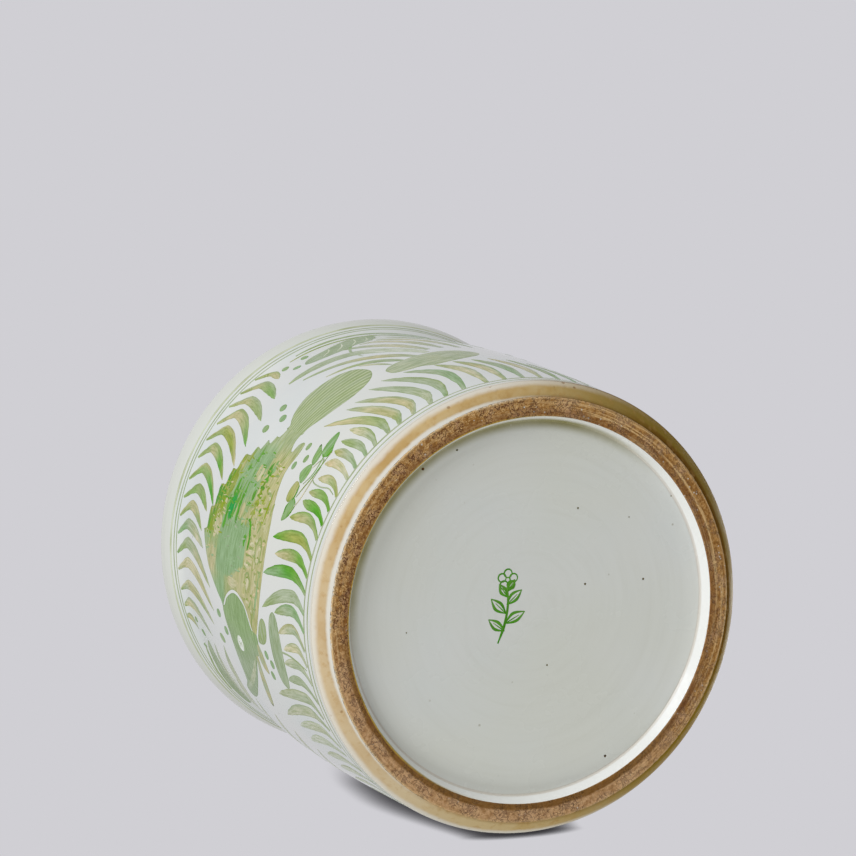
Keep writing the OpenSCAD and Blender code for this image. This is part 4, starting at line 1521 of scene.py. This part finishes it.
def paintScales(fish, turn, outline):
    # pale scales in broken rows along the belly, each with a darker line beside it
    chance = random.Random(91 + int(turn))
    row = 0
    y = 63.5
    while y < 82:
        x = 40.0 + (1.6 if row % 2 else 0.0)
        while x < 80:
            centre = flat([(x + chance.uniform(-0.5, 0.5), y + chance.uniform(-0.6, 0.6))], turn)[0]
            if isInside(*centre, outline) and edgeGap(*centre, outline) > 2.8 and chance.random() < 0.85:
                lean = chance.uniform(-0.5, 0.5)
                size = chance.uniform(1.3, 2.0)
                if chance.random() < 0.75:
                    pale = enamels[chance.choice(("beige", "beige", "rose", "tan"))]
                    fish.stroke(touch(centre, lean, size), [0.9, 1.9, 1.0], [pale],
                                lift=lifts["scale"], spacing=0.9, ragged=0.5)
                side = chance.choice((-1, 1)) * 1.5
                points = [(centre[0] + side * 0.5, centre[1] - size), (centre[0] + side, centre[1]),
                          (centre[0] + side * 0.6, centre[1] + size)]
                tone = enamels[chance.choice(("scale", "scale", "moss", "olive"))]
                fish.stroke(points, [0.4, 1.1, 0.4], [tone],
                            lift=lifts["scaleLine"], spacing=0.9, ragged=0.3)
            x += 2.9
        y += 4.1
        row += 1


lineWork = {"steps": 540, "wander": 0.22, "press": 0.35}


def paintLines(name, nodeName, finish, slotName, tones):
    # hand-drawn lines round the pot, one for each ring of the solid
    heights = sorted(row[0] for row in ringRows(nodeName))
    pairs = list(zip(heights[::2], heights[1::2]))
    marks = Marks(onWall, 700 + len(pairs))
    steps = lineWork["steps"]
    for number, (low, high) in enumerate(pairs):
        rows = []
        for i in range(steps):
            angle = 360 * i / steps
            east, north = math.cos(math.radians(angle)), math.sin(math.radians(angle))
            wander = noise.noise(Vector((east * 3, north * 3, low * 900)))
            press = noise.noise(Vector((east * 7, north * 7, low * 500 + 5)))
            middle = (low + high) * 500 + wander * lineWork["wander"]
            half = (high - low) * 500 * (0.92 + lineWork["press"] * press)
            tone = blended(tones[0], tones[1], min(max(0.5 + press, 0), 1))
            rows.append([marks.point(angle * degreeRun, middle + half * u, mixed(0.008, 0.05, rise), tone,
                                     (i * 0.12, u * half * 2.0, number * 9.0), 1 - abs(u))
                         for u, rise in ((-1, 0), (-0.6, 0.8), (0, 1), (0.6, 0.8), (1, 0))])
        for i in range(steps):
            lower, upper = rows[i], rows[(i + 1) % steps]
            for a, b, c, d in zip(lower, lower[1:], upper[1:], upper):
                marks.faces.append((a, b, c, d))
            marks.faces.append((lower[-1], lower[0], upper[0], upper[-1]))
    piece = marks.piece(name, finish, slotName)
    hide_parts(nodeName)


enamel = makeEnamel("brushedEnamel", 0.7, 0.06)
tailEnamel = makeEnamel("combedEnamel", 0.5, 0.06, comb=3.9)
lineEnamel = makeEnamel("lineEnamel", 0.6, 0.1)
paintPanel(0.0, 11)
paintPanel(180.0, 57)
paintLines("broad_line", "broad_band", lineEnamel, "green_enamel", (enamels["pale"], enamels["band"]))
paintLines("mouth_lines", "mouth_bands", lineEnamel, "grey_green_enamel", (enamels["line"], enamels["grey"]))
paintLines("heel_lines", "heel_bands", lineEnamel, "grey_green_enamel", (enamels["line"], enamels["line"]))

# a plain sprig under the foot, and a few grains of iron that came up through the glaze
sprigLook = {"up": 136.8, "middle": (-10.0, -0.5), "green": fired(82, 150, 26), "line": 1.25}
# grains of iron: place and half width in millimetres
ironSpots = [
    (-48.2, 56.6, 0.6), (-34.3, 64.0, 0.45), (36.8, -61.4, 0.58), (60.0, 45.0, 0.3), (41.7, 36.6, 0.3),
    (18.9, 40.5, 0.45), (23.8, 9.7, 0.5), (49.5, 11.2, 0.5), (8.9, -22.9, 0.4), (-52.0, -8.0, 0.3),
]


def paintSprig():
    marks = Marks(underFoot, 303)
    cx, cy = sprigLook["middle"]
    green = [sprigLook["green"], blended(sprigLook["green"], enamels["fern"], 0.5)]
    stem = [(cx - 3.0, cy - 13.0), (cx - 0.6, cy - 6.0), (cx + 0.6, cy + 2.0), (cx, cy + 9.5)]
    marks.stroke(stem, [0.6, 1.2, 1.0, 0.6], green, lift=0.06, spacing=0.8)
    for side, up, long, lean in ((-1, -8.0, 8.5, 34), (1, -5.0, 9.5, 30), (-1, -1.0, 9.0, 42),
                                 (1, 2.6, 8.5, 44), (-1, 5.6, 6.5, 54), (1, 8.0, 5.4, 60)):
        root = (cx + up * 0.05, cy + up)
        angle = math.radians(90 - side * (90 - lean))
        tip = (root[0] + math.cos(angle) * long, root[1] + math.sin(angle) * long)
        bow = Vector((-(tip[1] - root[1]), tip[0] - root[0])).normalized()
        for bend in (0.20, -0.16):
            mid = (mixed(root[0], tip[0], 0.5) + bow.x * long * bend,
                   mixed(root[1], tip[1], 0.5) + bow.y * long * bend)
            marks.stroke([root, mid, tip], [0.4, sprigLook["line"], 0.4], green, lift=0.06, spacing=0.7)
        marks.stroke([root, (mixed(root[0], tip[0], 0.7), mixed(root[1], tip[1], 0.7))], [0.35, 0.5, 0.25],
                     green, lift=0.05, spacing=0.7)
    for i in range(5):
        a = math.radians(90 + i * 72)
        centre = (cx + math.cos(a) * 2.6, cy + 12.6 + math.sin(a) * 2.6)
        ring = [(centre[0] + 1.7 * math.cos(b), centre[1] + 1.7 * math.sin(b))
                for b in [2 * math.pi * k / 10 for k in range(11)]]
        marks.stroke(ring, [0.5, 0.7, 0.6, 0.5], green, lift=0.06, spacing=0.6)
    marks.piece("foot_sprig", enamel, "green_enamel")

    iron = Marks(underFoot, 77)
    chance = random.Random(5)
    for x, y, size in ironSpots:
        outline = [(x + size * math.cos(a) * chance.uniform(0.8, 1.1), y + size * math.sin(a))
                   for a in [2 * math.pi * k / 9 for k in range(9)]]
        tone = blended(shade(146, 84, 48), shade(164, 150, 112), eased(size, 0.7, 0.4))
        iron.patch(outline, lambda px, py, tone=tone: tone, lift=0.05, spacing=0.6, soft=0.4)
    iron.piece("iron_grains", enamel, "recess_glaze")


paintSprig()
print("painting done")


stageLook = {
    "backdrop": shade(208, 207, 212),
    "shadow": shade(24, 22, 26),
    "restFace": (-0.7065, 0.7063, 0.0445),      # way the table faces that the pot lies on
    "standContact": 0.07,
    "restContact": 0.0052,
    "contactLow": 0.11,                         # the contact shadow fades out above this height
    "contactHigh": 0.18,
    "size": 6.0,
}


def contactFloor(name, face, through, reach, strength):
    # a pale sheet seen from its front only, darker where the pot is close to it
    finish = Finish(name + "Tone")
    finish.tree.nodes.remove(finish.surface)
    high = finish.split(finish.place())[2]
    far = finish.step(high, 0.0, 0.09, reach, reach * 2.0)
    clearAir = finish.node("ShaderNodeAmbientOcclusion", {"samples": 24}, {"Distance": far}, output=1)
    close = finish.step(clearAir, 0.9, 0.08)
    near = close * finish.step(high, stageLook["contactHigh"], stageLook["contactLow"])
    tone = finish.mix(near * strength, stageLook["backdrop"], stageLook["shadow"])
    glow = finish.node("ShaderNodeEmission", None, {"Color": tone, "Strength": 1.0})
    clear = finish.node("ShaderNodeBsdfTransparent")
    behind = finish.node("ShaderNodeNewGeometry", output=6)
    shown = finish.node("ShaderNodeMixShader", None, {0: behind, 1: glow, 2: clear})
    finish.feed(finish.end.inputs["Surface"], shown)
    half = stageLook["size"]
    up = Vector(face).normalized()
    across = up.orthogonal().normalized()
    along = up.cross(across)
    mesh = bpy.data.meshes.new(name)
    corners = [through + across * half * a + along * half * b
               for a, b in ((-1, -1), (1, -1), (1, 1), (-1, 1))]
    mesh.from_pydata([tuple(c) for c in corners], [], [(0, 1, 2, 3)])
    mesh.materials.append(finish.material)
    sheet = bpy.data.objects.new(name, mesh)
    scene.collection.objects.link(sheet)
    for way in ("visible_diffuse", "visible_glossy", "visible_transmission", "visible_shadow"):
        setattr(sheet, way, False)


def layFloors():
    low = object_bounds()[0]
    contactFloor("standing_floor", (0, 0, 1), Vector((0, 0, low.z)), stageLook["standContact"], 0.5)
    # the pot lies on its side on a second table, which touches its heel and belly
    face = Vector(stageLook["restFace"]).normalized()
    reach = 0.0
    for height, _, radius in glazeRows + lipRows + heelRows:
        reach = max(reach, radius * math.hypot(face.x, face.y) - height * face.z)
    contactFloor("resting_floor", tuple(face), face * -reach, stageLook["restContact"], 0.95)


worldLook = {"ambient": 0.35, "tint": (1.0, 1.0, 0.955)}
lampLook = [
    # name, direction from the pot, brightness on a surface that faces it, distance, size, colour
    ("key_lamp", (0.168, 0.951, -0.259), 0.63, 3.0, 1.8, (0.985, 0.995, 1.02)),
    ("table_side_lamp", (0.726, -0.472, -0.5), 0.26, 3.0, 1.8, (1.0, 1.0, 0.98)),
    ("far_side_lamp", (-0.47, -0.67, 0.574), 0.24, 3.0, 1.8, (1.0, 1.0, 0.98)),
]


def lightScene():
    world = bpy.data.worlds.new("studio")
    world.use_nodes = True
    scene.world = world
    work = NodeWork(world.node_tree)
    seen = [work.node("ShaderNodeLightPath", output=name)
            for name in ("Is Camera Ray", "Is Glossy Ray", "Is Transmission Ray")]
    shown = work.maths("MAXIMUM", work.maths("MAXIMUM", seen[0], seen[1]), seen[2])
    fill = work.node("ShaderNodeBackground", None,
                     {"Color": worldLook["tint"], "Strength": worldLook["ambient"]})
    backdrop = work.node("ShaderNodeBackground", None, {"Color": stageLook["backdrop"]})
    chosen = work.node("ShaderNodeMixShader", None, {0: shown, 1: fill, 2: backdrop})
    end = work.tree.nodes.new("ShaderNodeOutputWorld")
    work.feed(end.inputs["Surface"], chosen)
    middle = Vector((0, 0, (cadBox[0].z + cadBox[1].z) / 2))
    for name, direction, brightness, distance, size, colour in lampLook:
        away = Vector(direction).normalized()
        light = bpy.data.lights.new(name, "AREA")
        light.shape = "DISK"
        light.size = size
        light.color = colour
        light.energy = brightness * math.pi ** 2 * (distance ** 2 + size ** 2 / 4)
        lamp = bpy.data.objects.new(name, light)
        lamp.location = middle + away * distance
        lamp.rotation_mode = "QUATERNION"
        lamp.rotation_quaternion = away.to_track_quat("Z", "Y")
        lamp.visible_camera = False
        scene.collection.objects.link(lamp)


cameraLook = {
    "place": (0.14655, 0.43208, -0.92637),
    "forward": (-0.1660, -0.3452, 0.9237),
    "upward": (-0.7234, 0.6793, 0.1238),
    "lens": 109.35,
}


def placeCamera():
    data = bpy.data.cameras.new("camera")
    data.lens = cameraLook["lens"]
    data.sensor_width = 36
    data.clip_start, data.clip_end = 0.05, 50
    camera = bpy.data.objects.new("camera", data)
    forward = Vector(cameraLook["forward"]).normalized()
    right = forward.cross(Vector(cameraLook["upward"])).normalized()
    upward = right.cross(forward)
    turn = camera.matrix_world.copy().to_3x3()
    for row in range(3):
        turn[row] = (right[row], upward[row], -forward[row])
    camera.rotation_mode = "QUATERNION"
    camera.rotation_quaternion = turn.to_quaternion()
    camera.location = cameraLook["place"]
    scene.collection.objects.link(camera)
    scene.camera = camera


layFloors()
lightScene()
placeCamera()
scene.view_settings.view_transform = "Standard"
print("stage, lamps and camera set")
